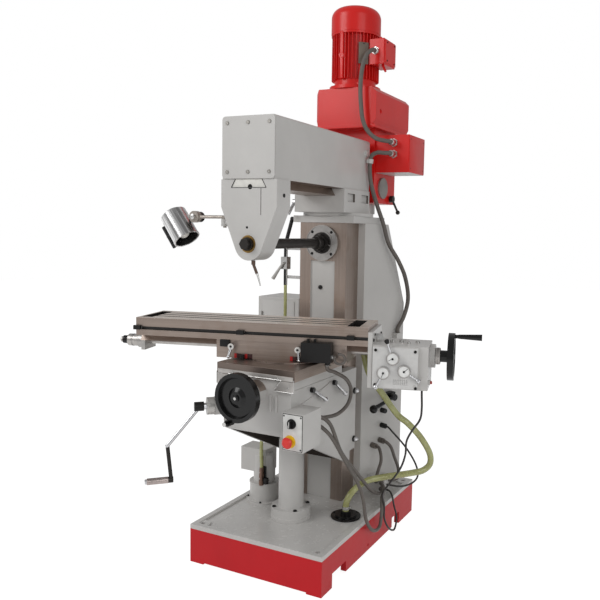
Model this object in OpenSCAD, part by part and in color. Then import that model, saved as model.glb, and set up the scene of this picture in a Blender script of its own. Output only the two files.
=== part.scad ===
// Knee and column milling machine with a ram, a rear vertical head and a swivelling table.
// Origin: centre of the four anchor holes on the floor, +X to the operator's right, +Y to the column, +Z up.

/* [Base] */
// Width of the base casting
base_w = 575; // [540:1:640]
// Depth of the base casting
base_d = 850; // [820:1:900]
// Height of the red skirt
skirt_h = 131; // [110:1:160]
// Wall of the skirt
skirt_wall = 22; // [14:1:30]
// Thickness of the tray floor
tray_t = 9; // [6:1:14]
// Height of the rim above the tray floor
rim_h = 8; // [4:1:14]
// Width of the rim
rim_w = 22; // [14:1:26]
// Spacing of the anchor holes across the machine
anchor_x = 504; // [440:1:510]
// Spacing of the anchor holes front to back
anchor_y = 784; // [700:1:790]
// Diameter of an anchor hole
anchor_d = 18; // [12:1:24]
// Radius of the post round an anchor hole
post_r = 32; // [24:1:34]
// Height of the side openings between the feet
foot_gap_h = 53; // [20:1:80]
// Clearance of the middle of the sides above the floor
mid_gap_h = 12; // [4:1:30]

/* [Column] */
// Half width of the vertical ways
way_half = 109; // [90:1:125]
// Distance of the way faces from the origin
way_y = 59; // [40:1:80]
// Depth of the machined way sides
way_depth = 111; // [80:1:120]
// Half width of the column where its flanks start
neck_half = 140; // [130:1:150]
// Half width of the column at its back
back_half = 230; // [190:1:250]
// Distance of the back of the column from the origin
back_y = 400; // [385:1:420]
// Length of the straight side at the back of the column
back_straight = 20; // [10:1:40]
// Height at which the column starts to narrow
shoulder_z = 960; // [900:1:1000]
// Height of the top of the column casting
column_top = 1308; // [1290:1:1330]
// Half width of the column at its top
top_half = 145; // [142:1:170]
// Wall of the column casting
column_wall = 22; // [14:1:30]
// Thickness of the plate on the column
cap_t = 28; // [20:1:36]
// Height of the horizontal spindle above the floor
spindle_z = 1224; // [1215:1:1232]
// Radius of the spindle flange
flange_r = 74; // [62:1:80]
// Radius of the spindle nose
nose_r = 44; // [38:1:48]

/* [Turret and ram] */
// Radius of the turret ring
turret_r = 150; // [130:1:160]
// Thickness of the turret ring
turret_t = 14; // [10:1:20]
// Distance of the turret axis from the origin
turret_y = 190; // [180:1:200]
// Half width of the turret block
block_half = 116; // [110:1:124]
// Height of the turret block up to its dovetail
block_h = 67; // [55:1:75]
// Half width of the dovetail at its wide side
tail_half = 72; // [64:1:80]
// Height of the dovetail
tail_h = 29; // [24:1:34]
// Undercut of the dovetail
tail_cut = 17; // [12:1:20]
// Half width of the ram
ram_half = 109; // [100:1:114]
// Height of the ram
ram_h = 214; // [200:1:230]
// Distance of the front of the ram from the origin, to the front
ram_front = 469; // [460:1:480]
// Distance of the rear of the ram from the origin
ram_back = 260; // [250:1:268]
// Radius of the upper edges of the ram
ram_edge_r = 12; // [8:1:20]
// Wall of the ram casting
ram_wall = 20; // [14:1:30]

/* [Arbor support] */
// Half width of the arbor support at its top
support_half = 115; // [110:1:120]
// Depth of the arbor support
support_d = 85; // [70:1:110]
// Radius of the boss round the arbor bearing
boss_r = 57; // [50:1:64]
// Height of the straight sides above the boss axis
support_shoulder = 126; // [110:1:150]
// Radius of the arbor
arbor_r = 19; // [13:1:24]
// Radius of the bearing sleeve on the arbor
sleeve_r = 23; // [21:1:30]
// Wall of the bronze bush
bush_wall = 7; // [5:1:12]

/* [Rear head] */
// Height of the axis that the rear head tilts about
tilt_z = 1553; // [1545:1:1560]
// Radius of the tilting flange
tilt_r = 102; // [90:1:105]
// Radius of the pin that the rear head tilts on
tilt_pin_r = 30; // [24:1:36]
// Half width of the head casting
head_half = 118; // [105:1:122]
// Distance of the rear of the head casting from the origin
head_back = 517; // [505:1:540]
// Height of the underside of the head casting
head_low = 1400; // [1390:1:1410]
// Height of the gear housing's underside
housing_low = 1728; // [1720:1:1740]
// Height of the gear housing
housing_h = 157; // [140:1:180]
// Half width of the gear housing
housing_half = 143; // [130:1:150]
// Length of the gear housing front to back
housing_d = 382; // [360:1:400]
// Distance of the front of the gear housing from the origin
housing_front = 225; // [215:1:235]
// Radius of the finned motor body
motor_r = 104; // [90:1:110]
// Height of the motor flange and finned body
motor_h = 239; // [220:1:280]
// Radius of the fan cowl
cowl_r = 108; // [95:1:114]
// Height of the fan cowl
cowl_h = 110; // [90:1:130]
// Radius of the upper edge of the fan cowl
cowl_edge_r = 42; // [20:1:48]
// Wall of the fan cowl
cowl_wall = 3; // [2:0.5:5]
// Distance of the motor axis from the origin
motor_y = 324; // [320:1:335]
// Number of cooling fins round the motor
fin_count = 40; // [24:1:44]
// Distance of the vertical spindle axis from the origin
quill_y = 465; // [460:1:470]
// Radius of the quill
quill_r = 40; // [36:1:44]
// Radius of the vertical spindle
spindle_r = 28; // [24:1:30]
// Radius of the bore of the vertical spindle
taper_r = 13; // [10:1:16]

/* [Knee] */
// Distance of the front of the knee from the origin, to the front
knee_front = 410; // [400:1:420]
// Half width of the knee
knee_half = 144; // [141:1:148]
// Height of the flat top of the knee at rest
knee_top = 709; // [700:1:715]
// Height of the lower front edge of the knee
knee_low_front = 540; // [530:1:548]
// Height of the lower rear edge of the knee
knee_low_back = 325; // [318:1:360]
// Wall of the knee casting
knee_wall = 18; // [12:1:24]
// Half width of the cross dovetail at its top
cross_half = 108; // [100:1:112]
// Height of the cross dovetail
cross_h = 39; // [30:1:42]
// Undercut of the cross dovetail
cross_cut = 29; // [20:1:32]
// Radius of the cross feed handwheel
cross_wheel_r = 86; // [70:1:90]
// Radius of the pedestal tube
pedestal_r = 50; // [46:1:60]
// Distance of the pedestal axis from the origin, to the front
pedestal_y = 164; // [160:1:170]
// Drop of the crank grip below the crank axis
crank_drop = 264; // [230:1:270]

/* [Saddle and swivel] */
// Half width of the saddle
saddle_half = 166; // [160:1:172]
// Length of the saddle front to back
saddle_d = 400; // [380:1:410]
// Distance of the front of the saddle from the origin, to the front
saddle_front = 422; // [415:1:426]
// Thickness of the saddle above its jaws
saddle_t = 40; // [34:1:44]
// Distance of the swivel axis from the origin, to the front
swivel_y = 198; // [190:1:206]
// Angle that the table is swivelled to at rest
table_swivel = 15.6; // [14:0.1:17]
// Half length of the swivel carriage
carriage_half = 250; // [240:1:256]
// Half width of the swivel carriage
carriage_w = 104; // [96:1:108]
// Radius of the graduated disc under the carriage
disc_r = 150; // [130:1:156]

/* [Table] */
// Length of the table
table_l = 900; // [860:1:940]
// Width of the table
table_w = 225; // [215:1:240]
// Height of the table surface at rest
table_top = 930; // [925:1:940]
// Distance of the left end of the table from the swivel axis at rest
table_left = 571; // [560:1:580]
// Height of the full width band of the table
band_h = 68; // [60:1:74]
// Width of a table slot at its top
slot_w = 14; // [10:1:16]
// Width of a table slot at its foot
slot_foot_w = 24; // [20:1:28]
// Spacing of the table slots
slot_pitch = 50; // [46:1:56]
// Number of table slots
slot_count = 3; // [1:1:3]
// Half width of the longitudinal dovetail at its foot
long_half = 78; // [72:1:84]
// Height of the longitudinal dovetail
long_h = 26; // [22:1:30]
// Undercut of the longitudinal dovetail
long_cut = 14; // [10:1:18]
// Height of the table screw axis
screw_z = 822; // [816:1:824]
// Radius of the table screw
screw_r = 11; // [8:1:12]
// Radius of the table handwheel
wheel_r = 88; // [75:1:92]

/* [Boxes and wheels] */
// Width of the electrical cabinet
cabinet_w = 222; // [200:1:240]
// Depth of the electrical cabinet
cabinet_d = 200; // [180:1:220]
// Height of the electrical cabinet
cabinet_h = 540; // [500:1:580]
// Height of the cabinet's underside
cabinet_low = 420; // [400:1:440]
// Distance of the front of the cabinet from the origin
cabinet_front = 255; // [250:1:260]
// Width of the electric box on the head
ebox_w = 157; // [140:1:165]
// Depth of the electric box on the head
ebox_d = 180; // [160:1:190]
// Height of the electric box on the head
ebox_h = 160; // [140:1:170]
// Height of the underside of the electric box
ebox_low = 1530; // [1525:1:1535]
// Distance of the front of the electric box from the origin
ebox_front = 300; // [295:1:305]
// Length of the feed gearbox along the table
gearbox_l = 203; // [190:1:210]
// Height of the feed gearbox
gearbox_h = 158; // [150:1:165]
// Distance of the front of the feed gearbox from the table's axis
gearbox_front = 108; // [100:1:112]
// Distance of the rear of the feed gearbox from the table's axis
gearbox_back = 62; // [55:1:70]
// Radius of a selector dial
selector_r = 24; // [18:1:25]
// Height of the pedestal above the tray
pedestal_h = 352; // [330:1:360]
// Radius of the flange of the pedestal
pedestal_flange_r = 78; // [72:1:84]
// Height of the flange of the pedestal
pedestal_flange_h = 46; // [30:1:54]
// Radius of the elevating screw
lead_r = 18; // [14:1:20]
// Radius of the pump body
pump_r = 60; // [52:1:64]
// Radius of the pump's suction tube under the tray
pump_tube_r = 27; // [20:1:28]
// Height of the pump body
pump_h = 78; // [70:1:84]
// Radius of the pump motor
pump_motor_r = 45; // [38:1:45]
// Height of the pump motor
pump_motor_h = 116; // [100:1:120]
// Depth of the rim of a handwheel
wheel_rim_t = 26; // [20:1:28]
// Width of the rim of a handwheel
wheel_rim_w = 14; // [10:1:16]
// Length of the grip on the table handwheel
wheel_grip_l = 86; // [70:1:90]
// Radius of the shade of the work lamp
lamp_r = 48; // [42:1:52]
// Wall of a pressed box or shade
sheet_t = 4; // [3:0.5:5]

/* [Clearances] */
// Gap between sliding faces
slide_fit = 0.05; // [0.02:0.01:0.1]
// Radial gap of a turning fit
turn_fit = 0.04; // [0.02:0.01:0.1]
// Gap round a casting that stands on another
foot_fit = 0.3; // [0.1:0.1:0.6]
// Gap between pieces that pass each other
pass_gap = 0.3; // [0.1:0.1:0.6]

/* [Hidden] */
$fn = 64;
eps = 1;
side_fit = 2 * slide_fit;

// Heights and places worked out from the sizes above
tray_z = skirt_h + tray_t;
rim_z = tray_z + rim_h;
cap_top = column_top + cap_t;
block_low = cap_top + turret_t;
tail_low = block_low + block_h;
ram_low = tail_low + tail_h;
ram_top = ram_low + ram_h;
bush_r = sleeve_r + turn_fit + bush_wall;
saddle_low = knee_top + cross_h;
saddle_top = saddle_low + saddle_t;
band_low = table_top - band_h;
tail_foot = band_low - long_h;
function cross_x(z) = cross_half - cross_cut * (saddle_low - z) / cross_h;
function tail_x(z) = tail_half - tail_cut * (z - tail_low) / tail_h;
function long_x(z) = long_half - long_cut * (z - tail_foot) / long_h;
table_right = table_l - table_left;
motor_low = housing_low + housing_h;
motor_top = motor_low + motor_h;
quill_low = head_low - 45;
flank_run = back_y - back_straight - way_y - way_depth;
flank_rise = back_half - neck_half;
flank_angle = atan2(flank_rise, flank_run);

// Shared shapes
module rod(a, b, r1, r2 = -1) {
    v = b - a;
    l = norm(v);
    translate(a)
        rotate([0, acos(v.z / l), atan2(v.y, v.x)])
            cylinder(h = l, r1 = r1, r2 = r2 < 0 ? r1 : r2);
}

module along_y(y0, y1) {
    translate([0, y1, 0])
        rotate([90, 0, 0])
            linear_extrude(y1 - y0)
                children();
}

module along_x(x0, x1) {
    translate([x0, 0, 0])
        rotate([90, 0, 90])
            linear_extrude(x1 - x0)
                children();
}

module block(x0, x1, y0, y1, z0, z1) {
    translate([x0, y0, z0])
        cube([x1 - x0, y1 - y0, z1 - z0]);
}

module round_rect(w, h, r) {
    square([w - 2 * r, h], center = true);
    square([w, h - 2 * r], center = true);
    for (i = [-1, 1], j = [-1, 1])
        translate([i * (w / 2 - r), j * (h / 2 - r)])
            circle(r);
}

module at_anchors() {
    for (i = [-1, 1], j = [-1, 1])
        translate([i * anchor_x / 2, j * anchor_y / 2, 0])
            children();
}

module table_frame() {
    translate([0, -swivel_y, 0])
        rotate([0, 0, table_swivel])
            children();
}

// Outline of a dovetail, wide at the foot when top is the narrow half width
module tail(low_half, high_half, low, high) {
    polygon([[-low_half, low], [low_half, low], [high_half, high], [-high_half, high]]);
}

// Place on the right flank of the column at a distance y from the origin and a height z
function flank_x(y) = neck_half + (y - way_y - way_depth) * flank_rise / flank_run;

module on_flank(y, z) {
    translate([flank_x(y), y, z])
        rotate([0, 0, -flank_angle])
            rotate([0, 90, 0])
                children();
}

// A tube swept along points, one ring at each point
function unit(v) = v / norm(v);
function tangent(p, i) =
    i == 0 ? unit(p[1] - p[0]) :
    i == len(p) - 1 ? unit(p[i] - p[i - 1]) :
    unit(unit(p[i + 1] - p[i]) + unit(p[i] - p[i - 1]));
function side_of(n, t) = unit(n - (n * t) * t);
function start_side(t) = side_of(abs(t.z) < 0.8 ? [0, 0, 1] : [1, 0, 0], t);
function sides(p) = [for (i = 0, n = start_side(tangent(p, 0)); i < len(p);
    i = i + 1, n = i < len(p) ? side_of(n, tangent(p, i)) : n) n];

module tube(p, r, k = 10) {
    n = sides(p);
    ring = [for (i = [0:len(p) - 1], j = [0:k - 1])
        p[i] + r * (cos(360 * j / k) * n[i] + sin(360 * j / k) * cross(tangent(p, i), n[i]))];
    walls = [for (i = [0:len(p) - 2], j = [0:k - 1], s = [0, 1])
        s == 0 ?
            [i * k + j, (i + 1) * k + j, (i + 1) * k + (j + 1) % k] :
            [i * k + j, (i + 1) * k + (j + 1) % k, i * k + (j + 1) % k]];
    low = [for (j = [1:k - 2]) [0, j, j + 1]];
    base = (len(p) - 1) * k;
    high = [for (j = [1:k - 2]) [base, base + j + 1, base + j]];
    polyhedron(ring, concat(low, walls, high));
}

// Places on the plan that several pieces share
drain_at = [195, -65];
drain_top = tray_z + 24;
pump_at = [-190, -70];
pump_pipe_h = 72;
pump_pipe_at = [20, -52];
pump_outlet = [pump_at.x + pump_pipe_at.x, pump_at.y + pump_pipe_at.y, tray_z + pump_h + 6 + pump_pipe_h];
anchor_gaps = [[-345, -238], [193, 269]];
foot_block = [240, 212, 268, 215];
panel_side = 229;
panel_y = [-465, -343];
panel_z = [519, 652];
panel_gland = panel_y[1] + 8;
stop_at = [178, 554];
switch_at = [184, 617];
lamp_pivot = [-support_half - 17, support_d / 2 - ram_front + 1.5, spindle_z + 72];
line_x = -178;
line_y = 56;
line_low = 1040;
valve_z = 1134;
gland_x = head_half + 88;
gland_y = ebox_front - 34;
gland_z = [ebox_low + 126, ebox_low + 78];
box_in = table_right + 16;
box_out = box_in + gearbox_l;
box_low = band_low - 150;
box_top = box_low + gearbox_h;
limit_u = [90, 201];
limit_low = band_low - 61;
lock_u = [-184, 72];
lock_z = saddle_top + 51;
lever_y = 45;
lever_z = tail_low - 25;
front_y = -ram_front;
cross_z = knee_top - 12;
lead_low = knee_low_back - 25;
drain_u = table_right - 60;
drain_v = 98;
lead_u = 527;
lead_v = -95;
switch_u = 186;
switch_v = -carriage_w - 34;

// Place in the row frame of a point given along and across the swivelled table
function on_table(u, v, z) =
    [u * cos(table_swivel) - v * sin(table_swivel), u * sin(table_swivel) + v * cos(table_swivel) - swivel_y, z];

// Place at a distance out of the right flank of the column
function out_of_flank(y, z, d) =
    [flank_x(y) + d * cos(flank_angle), y - d * sin(flank_angle), z];

// Routes of the cords: straight ends at their glands, and points in round numbers between them
conduit_r = 9;
thin_r = 7;
cable_r = 4;
hose_r = 13;
gland_l = 30;
function leave(p, d, l = 14) = [p, p + l * d];
function arrive(p, d, l = 14) = [p + l * d, p];
down = [0, 0, -1];
ahead = [0, -1, 0];
aside = [1, 0, 0];
motor_gland = [122, 264, motor_low + 155];
motor_conduit_route = concat(leave(motor_gland, ahead, 8),
    [[120, 244, 2038], [106, 218, 2016], [95, 200, 1960], [90, 195, 1880], [95, 195, 1800], [104, 197, 1740],
    [125, 205, 1695], [160, 216, 1665], [190, 232, 1657]],
    arrive([gland_x, gland_y, gland_z[0]], ahead));
head_conduit_route = concat(leave([gland_x, gland_y, gland_z[1]], ahead),
    [[190, 236, 1607], [160, 228, 1608], [136, 226, 1596],
    [128, 226, 1560], [129, 234, 1490], [142, 268, 1400], [168, 290, 1310], [190, 300, 1228],
    [225, 335, 1150], [248, 360, 1080], [258, 378, 980], [246, 360, 900]],
    arrive(out_of_flank(345, 832, 15), -down, 20));
drain_route = concat(leave(on_table(drain_u, drain_v, band_low), down),
    [[245, -35, 800], [262, -20, 720], [300, 38, 625],
    [340, 110, 527], [375, 123, 499], [420, 170, 428], [448, 205, 350], [446, 204, 312],
    [425, 185, 290], [390, 150, 284], [345, 95, 284], [300, 48, 282], [255, 5, 274],
    [222, -35, 250], [202, -60, 215]], arrive([drain_at.x, drain_at.y, drain_top], -down, 20));
gearbox_cable_route = concat(leave(on_table(lead_u, lead_v, box_low), down),
    [[535, -148, 646], [520, -122, 596], [480, -98, 540],
    [445, -60, 485], [420, -7, 411], [385, 28, 337], [345, 22, 274], [318, 18, 229],
    [312, 50, 165], [312, 54, 110], [320, 82, 60], [322, 140, 32], [318, 170, 70],
    [306, 165, 125], [290, 180, 158]], arrive([foot_block[0], 221, 160], aside));
side_cable_route = concat(leave(out_of_flank(280, 425, gland_l), unit([1, -0.4286, 0])),
    [[250, 266, 404], [300, 287, 344], [340, 299, 282],
    [360, 290, 249], [355, 306, 208], [330, 310, 176], [295, 270, 168]],
    arrive([foot_block[0], 236, 178], aside));
conduit_a_route = concat(leave(out_of_flank(272, 359, gland_l), unit([1, -0.4286, 0])),
    [[240, 266, 340], [250, 294, 282], [262, 312, 225], [268, 290, 196]],
    arrive([foot_block[0], 257, 192], aside));
conduit_b_route = concat(leave(out_of_flank(231, 345, gland_l), unit([1, -0.4286, 0])),
    [[222, 200, 330], [232, 187, 298], [228, 165, 255], [216, 170, 214]],
    arrive([206, foot_block[1], 196], ahead));
panel_route_one = concat(leave([216, panel_gland, 612], -ahead, 10),
    [[240, -305, 590], [255, -235, 465], [262, -110, 345],
    [264, 40, 218], [262, 130, 180], [244, 178, 170]], arrive([226, foot_block[1], 168], ahead));
panel_route_two = concat(leave([208, panel_gland, 580], -ahead, 10),
    [[236, -296, 545], [272, -240, 440], [296, -170, 330],
    [304, -135, 255], [308, -115, 170], [312, -60, 105], [312, 5, 92], [308, 34, 140],
    [296, 60, 190], [282, 110, 198], [252, 170, 196]], arrive([228, foot_block[1], 194], ahead));
switch_route = concat(leave(on_table(switch_u, switch_v, limit_low - 9), down),
    [[232, -246, 760], [250, -190, 725], [254, -160, 680],
    [248, -168, 632], [234, -220, 602], [210, -290, 600]], arrive([198, panel_gland, 604], -ahead));
pump_route = concat(leave(pump_outlet, -down),
    [[-172, -122, 350], [-175, -112, 430], [-177, -60, 540],
    [-178, 10, 650], [-178, 44, 760], [-178, 56, 890]], arrive([line_x, line_y, line_low], down, 30));

// Base
module base_skirt() color("firebrick") difference() {
    union() {
        difference() {
            block(-base_w / 2, base_w / 2, -base_d / 2, base_d / 2, 0, skirt_h);
            block(-base_w / 2 + skirt_wall, base_w / 2 - skirt_wall,
                -base_d / 2 + skirt_wall, base_d / 2 - skirt_wall, -eps, skirt_h + eps);
        }
        at_anchors() cylinder(h = skirt_h, r = post_r);
    }
    for (g = anchor_gaps)
        block(-base_w, base_w, g[0], g[1], -eps, foot_gap_h);
    block(-base_w, base_w, anchor_gaps[0][1] - eps, anchor_gaps[1][0] + eps, -eps, mid_gap_h);
    block(-base_w / 2 + 62, base_w / 2 - 62, -base_d, base_d, -eps, mid_gap_h / 2);
    at_anchors() translate([0, 0, -eps]) cylinder(h = skirt_h + 2 * eps, d = anchor_d);
    translate([base_w / 2 + eps, -45, 34]) rotate([0, -90, 0]) cylinder(h = skirt_wall + 2 * eps, r = 5);
}

module coolant_tray() color("lightgray") difference() {
    union() {
        block(-base_w / 2, base_w / 2, -base_d / 2, base_d / 2, skirt_h, tray_z);
        difference() {
            block(-base_w / 2, base_w / 2, -base_d / 2, base_d / 2, tray_z - eps, rim_z);
            block(-base_w / 2 + rim_w, base_w / 2 - rim_w,
                -base_d / 2 + rim_w, base_d / 2 - rim_w, tray_z - 2 * eps, rim_z + eps);
        }
        at_anchors() translate([0, 0, skirt_h]) cylinder(h = tray_t + rim_h - 2, r = post_r - 4);
    }
    at_anchors() translate([0, 0, skirt_h - eps]) cylinder(h = tray_t + rim_h + 2 * eps, d = anchor_d);
    block(-back_half - foot_fit, back_half + foot_fit, anchor_y / 2 - post_r, back_y + foot_fit, tray_z, rim_z + eps);
    translate([drain_at.x, drain_at.y, skirt_h - eps]) cylinder(h = tray_t + 2 * eps, r = 22);
    translate([pump_at.x, pump_at.y, skirt_h - eps]) cylinder(h = tray_t + 2 * eps, r = pump_tube_r + 2);
}

// Plan of the column, drawn inward by a wall
module column_plan(inset = 0) {
    polygon([[-way_half + inset, way_y + inset], [way_half - inset, way_y + inset],
        [way_half - inset, way_y + way_depth + inset / 2], [neck_half - inset, way_y + way_depth + inset / 2],
        [back_half - inset, back_y - back_straight - inset], [back_half - inset, back_y - inset],
        [-back_half + inset, back_y - inset], [-back_half + inset, back_y - back_straight - inset],
        [-neck_half + inset, way_y + way_depth + inset / 2],
        [-way_half + inset, way_y + way_depth + inset / 2]]);
}

module column_front(inset = 0) {
    polygon([[-back_half + inset, 0], [back_half - inset, 0], [back_half - inset, shoulder_z],
        [top_half - inset, column_top - inset], [-top_half + inset, column_top - inset],
        [-back_half + inset, shoulder_z]]);
}

module column() color("gainsboro") {
    difference() {
        intersection() {
            translate([0, 0, tray_z]) linear_extrude(column_top - tray_z) column_plan();
            along_y(0, back_y + eps) column_front();
        }
        intersection() {
            translate([0, 0, tray_z - eps]) linear_extrude(column_top) column_plan(column_wall);
            along_y(0, back_y + eps) column_front(column_wall);
        }
        block(-56, 56, way_y - eps, way_y + 6, tray_z - eps, spindle_z - flange_r);
        translate([0, way_y - eps, spindle_z]) rotate([-90, 0, 0]) cylinder(h = column_wall + 2 * eps, r = nose_r + turn_fit);
        translate([-11, way_y - eps, 1039]) rotate([-90, 0, 0]) cylinder(h = column_wall, r = 5);
    }
    block(-cap_half, cap_half, way_y - 4, 360, column_top, cap_top);
}

module spindle_flange() color("silver") {
    difference() {
        translate([0, way_y, spindle_z]) rotate([90, 0, 0]) cylinder(h = 12, r = flange_r);
        translate([0, way_y + eps, spindle_z]) rotate([90, 0, 0]) cylinder(h = 14, r = nose_r + turn_fit);
        for (a = [45:90:315])
            translate([(flange_r - 11) * cos(a), way_y - 4, spindle_z + (flange_r - 11) * sin(a)])
                rotate([90, 0, 0]) cylinder(h = 14, r = 6);
    }
}

module spindle_arbor() color("dimgray") {
    front = -ram_front - 12;
    union() {
        translate([0, way_y + 95, spindle_z]) rotate([90, 0, 0]) cylinder(h = 110, r = nose_r);
        translate([0, way_y - 14, spindle_z]) rotate([90, 0, 0]) cylinder(h = 18, r = 32);
        translate([0, way_y, spindle_z]) rotate([90, 0, 0]) cylinder(h = way_y - front, r = arbor_r);
        translate([0, -ram_front + support_d + 12, spindle_z])
            rotate([90, 0, 0]) cylinder(h = support_d + 24, r = sleeve_r);
        translate([0, front, spindle_z]) rotate([90, 0, 0]) cylinder(h = 14, r = 20, $fn = 6);
    }
}

// Column fittings
module electrical_cabinet() color("lightgray") {
    difference() {
        block(-back_half - cabinet_w, -back_half, cabinet_front, cabinet_front + cabinet_d,
            cabinet_low, cabinet_low + cabinet_h);
        block(-back_half - cabinet_w + sheet_t, -back_half - sheet_t, cabinet_front + sheet_t,
            cabinet_front + cabinet_d - sheet_t, cabinet_low + sheet_t, cabinet_low + cabinet_h - sheet_t);
    }
}

module screw_pedestal() color("lightgray") difference() {
    union() {
        translate([0, -pedestal_y, tray_z]) cylinder(h = pedestal_flange_h, r = pedestal_flange_r);
        translate([0, -pedestal_y, tray_z]) cylinder(h = pedestal_flange_h / 3, r = pedestal_flange_r + 2);
        translate([0, -pedestal_y, tray_z]) cylinder(h = pedestal_h, r = pedestal_r);
    }
    translate([0, -pedestal_y, tray_z + 10]) cylinder(h = pedestal_h, r = lead_r + 6);
    for (a = [45:90:315])
        translate([(pedestal_flange_r - 10) * cos(a), -pedestal_y + (pedestal_flange_r - 10) * sin(a), tray_z + 14])
            cylinder(h = pedestal_flange_h, r = 5);
}

module coolant_pump() color("gainsboro") {
    motor_z = tray_z + pump_h + 6;
    translate([pump_at.x, pump_at.y, 0]) {
        difference() {
            union() {
                translate([0, 0, tray_z]) cylinder(h = 8, r = pump_r + 15);
                translate([0, 0, tray_z - 60]) cylinder(h = 60 + pump_h, r = pump_tube_r);
                translate([0, 0, tray_z]) cylinder(h = pump_h, r = pump_r);
                translate([0, 0, tray_z + pump_h]) cylinder(h = 6, r = pump_r + 2);
                translate([0, 0, motor_z]) cylinder(h = pump_motor_h, r = pump_motor_r);
                translate([0, 0, motor_z + pump_motor_h]) cylinder(h = 8, r1 = pump_motor_r, r2 = pump_motor_r - 8);
                block(-91, 30, -40, 44, motor_z + 43, motor_z + 141);
                translate([pump_pipe_at.x, pump_pipe_at.y, motor_z - 3]) {
                    cylinder(h = 19, r = 11);
                    cylinder(h = pump_pipe_h + 3, r = 8);
                    translate([0, 0, 32]) cylinder(h = 15, r = 11, $fn = 6);
                    translate([0, 0, 56]) cylinder(h = 14, r = 10, $fn = 6);
                }
            }
            for (a = [20:90:290])
                translate([(pump_r + 9) * cos(a), (pump_r + 9) * sin(a), tray_z + 2]) cylinder(h = 30, r = 3.5);
        }
    }
}

module drain_flange() color("black") {
    translate([drain_at.x, drain_at.y, 0]) difference() {
        union() {
            translate([0, 0, tray_z]) cylinder(h = 6, r = 60);
            translate([0, 0, tray_z]) cylinder(h = 12, r = 44);
            translate([0, 0, tray_z]) cylinder(h = drain_top - tray_z, r = 20);
        }
        translate([0, 0, tray_z - eps]) cylinder(h = 20, r = 11);
    }
}

module side_fittings() color("dimgray") {
    on_flank(280, 492) cylinder(h = 26, r = 11);
    on_flank(280, 425) cylinder(h = gland_l, r = 11);
    on_flank(272, 359) cylinder(h = gland_l, r = 12);
    on_flank(231, 345) cylinder(h = gland_l, r = 12);
    on_flank(345, 815) translate([-17, -18, 0]) cube([34, 36, 30]);
    on_flank(305, 555) difference() {
        translate([-17, -27, 0]) cube([34, 54, 30]);
        translate([0, 0, 10]) cylinder(h = 40, r = 8 + turn_fit);
    }
    // Block at the foot that the conduits run into
    difference() {
        block(150, foot_block[0], foot_block[1], foot_block[2], tray_z, foot_block[3]);
        translate([flank_x(150), 150, 100])
            rotate([0, 0, -flank_angle])
                translate([-300, -100, 0])
                    cube([300, 300, 200]);
    }
}

module column_lever() color("black") {
    on_flank(305, 555) {
        translate([0, 0, 12]) cylinder(h = 46, r = 8);
        translate([0, 0, 34]) cylinder(h = 22, r = 15);
    }
    rod(lever_hub, lever_tip, 7, 10);
    translate(lever_tip) sphere(18);
}

lever_hub = out_of_flank(305, 555, 46);
lever_tip = out_of_flank(185, 525, 62);

// Coolant line on the left of the column
module coolant_line() color("silver") {
    rod([line_x, line_y, line_low], [line_x, line_y, valve_z - 24], 8);
    rod([line_x, line_y, valve_z + 24], [line_x, line_y, 1220], 8);
    difference() {
        block(line_x - 15, line_x + 15, line_y - 15, line_y + 15, valve_z - 26, valve_z + 26);
        translate([line_x, line_y - 16, valve_z]) rotate([-90, 0, 0]) cylinder(h = 12, r = 5 + turn_fit);
    }
    translate([line_x, line_y, 1220]) sphere(9);
    rod([line_x, line_y, 1220], line_bend, 8);
    translate(line_bend) sphere(9);
    rod(line_bend, [-cap_half, line_bend.y, line_bend.z], 8);
    for (z = [1074, 1196])
        block(line_x - 4, -way_half, way_y + 1, way_y + 17, z - 6, z + 6);
}

cap_half = 142;
line_bend = [-cap_half - 18, way_y + 16, column_top + cap_t / 2];
module valve_lever() color("red") {
    rod([line_x, line_y - 5, valve_z], [line_x, line_y - 26, valve_z], 5);
    rod([line_x, line_y - 22, valve_z], [line_x - 44, line_y - 30, valve_z - 68], 4, 8);
}

// Turret
module turret() color("silver") {
    difference() {
        union() {
            translate([0, turret_y, cap_top]) cylinder(h = turret_t, r = turret_r);
            block(-block_half, block_half, 20, 254, block_low, ram_low - slide_fit);
        }
        along_y(0, 300) tail(tail_half + side_fit, tail_x(ram_low + eps) + side_fit, tail_low, ram_low + eps);
        for (y = [51, 178])
            block(block_half - 10, block_half + eps, y, y + 64, tail_low - 23, tail_low + 10);
        translate([-block_half - eps, lever_y, lever_z]) rotate([0, 90, 0]) cylinder(h = 30, r = 6 + turn_fit);
    }
}

module turret_lever() color("silver") {
    rod([-block_half + 22, lever_y, lever_z], [-block_half - 16, lever_y, lever_z], 6);
    rod([-block_half - 14, lever_y, lever_z], [-block_half - 30, lever_y - 27, lever_z - 53], 6, 8);
    rod([-block_half - pass_gap, lever_y, lever_z], [-block_half - 22, lever_y, lever_z], 11);
}

// Ram with its dovetail, front support and cover
module ram_shape(w, low, high, r) {
    translate([-w, low]) square([2 * w, high - low - r]);
    translate([-w + r, low]) square([2 * (w - r), high - low]);
    for (i = [-1, 1]) translate([i * (w - r), high - r]) circle(r);
}

module ram() color("gainsboro") difference() {
    union() {
        along_y(-ram_front, ram_back) ram_shape(ram_half, ram_low, ram_top, ram_edge_r);
        along_y(-ram_front + 2, ram_back)
            tail(tail_x(tail_low + slide_fit), tail_x(ram_low + eps), tail_low + slide_fit, ram_low + eps);
        rod([ram_half - 6, ram_back - 34, ram_top - 56], [ram_half + 8, ram_back - 34, ram_top - 56], 14);
    }
    along_y(-ram_front - eps, ram_back - 50)
        ram_shape(ram_half - ram_wall, ram_low + ram_wall, ram_top - ram_wall, ram_edge_r / 2);
    translate([0, ram_back + eps, tilt_z]) rotate([90, 0, 0]) cylinder(h = 60, r = tilt_pin_r + turn_fit);
}

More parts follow.
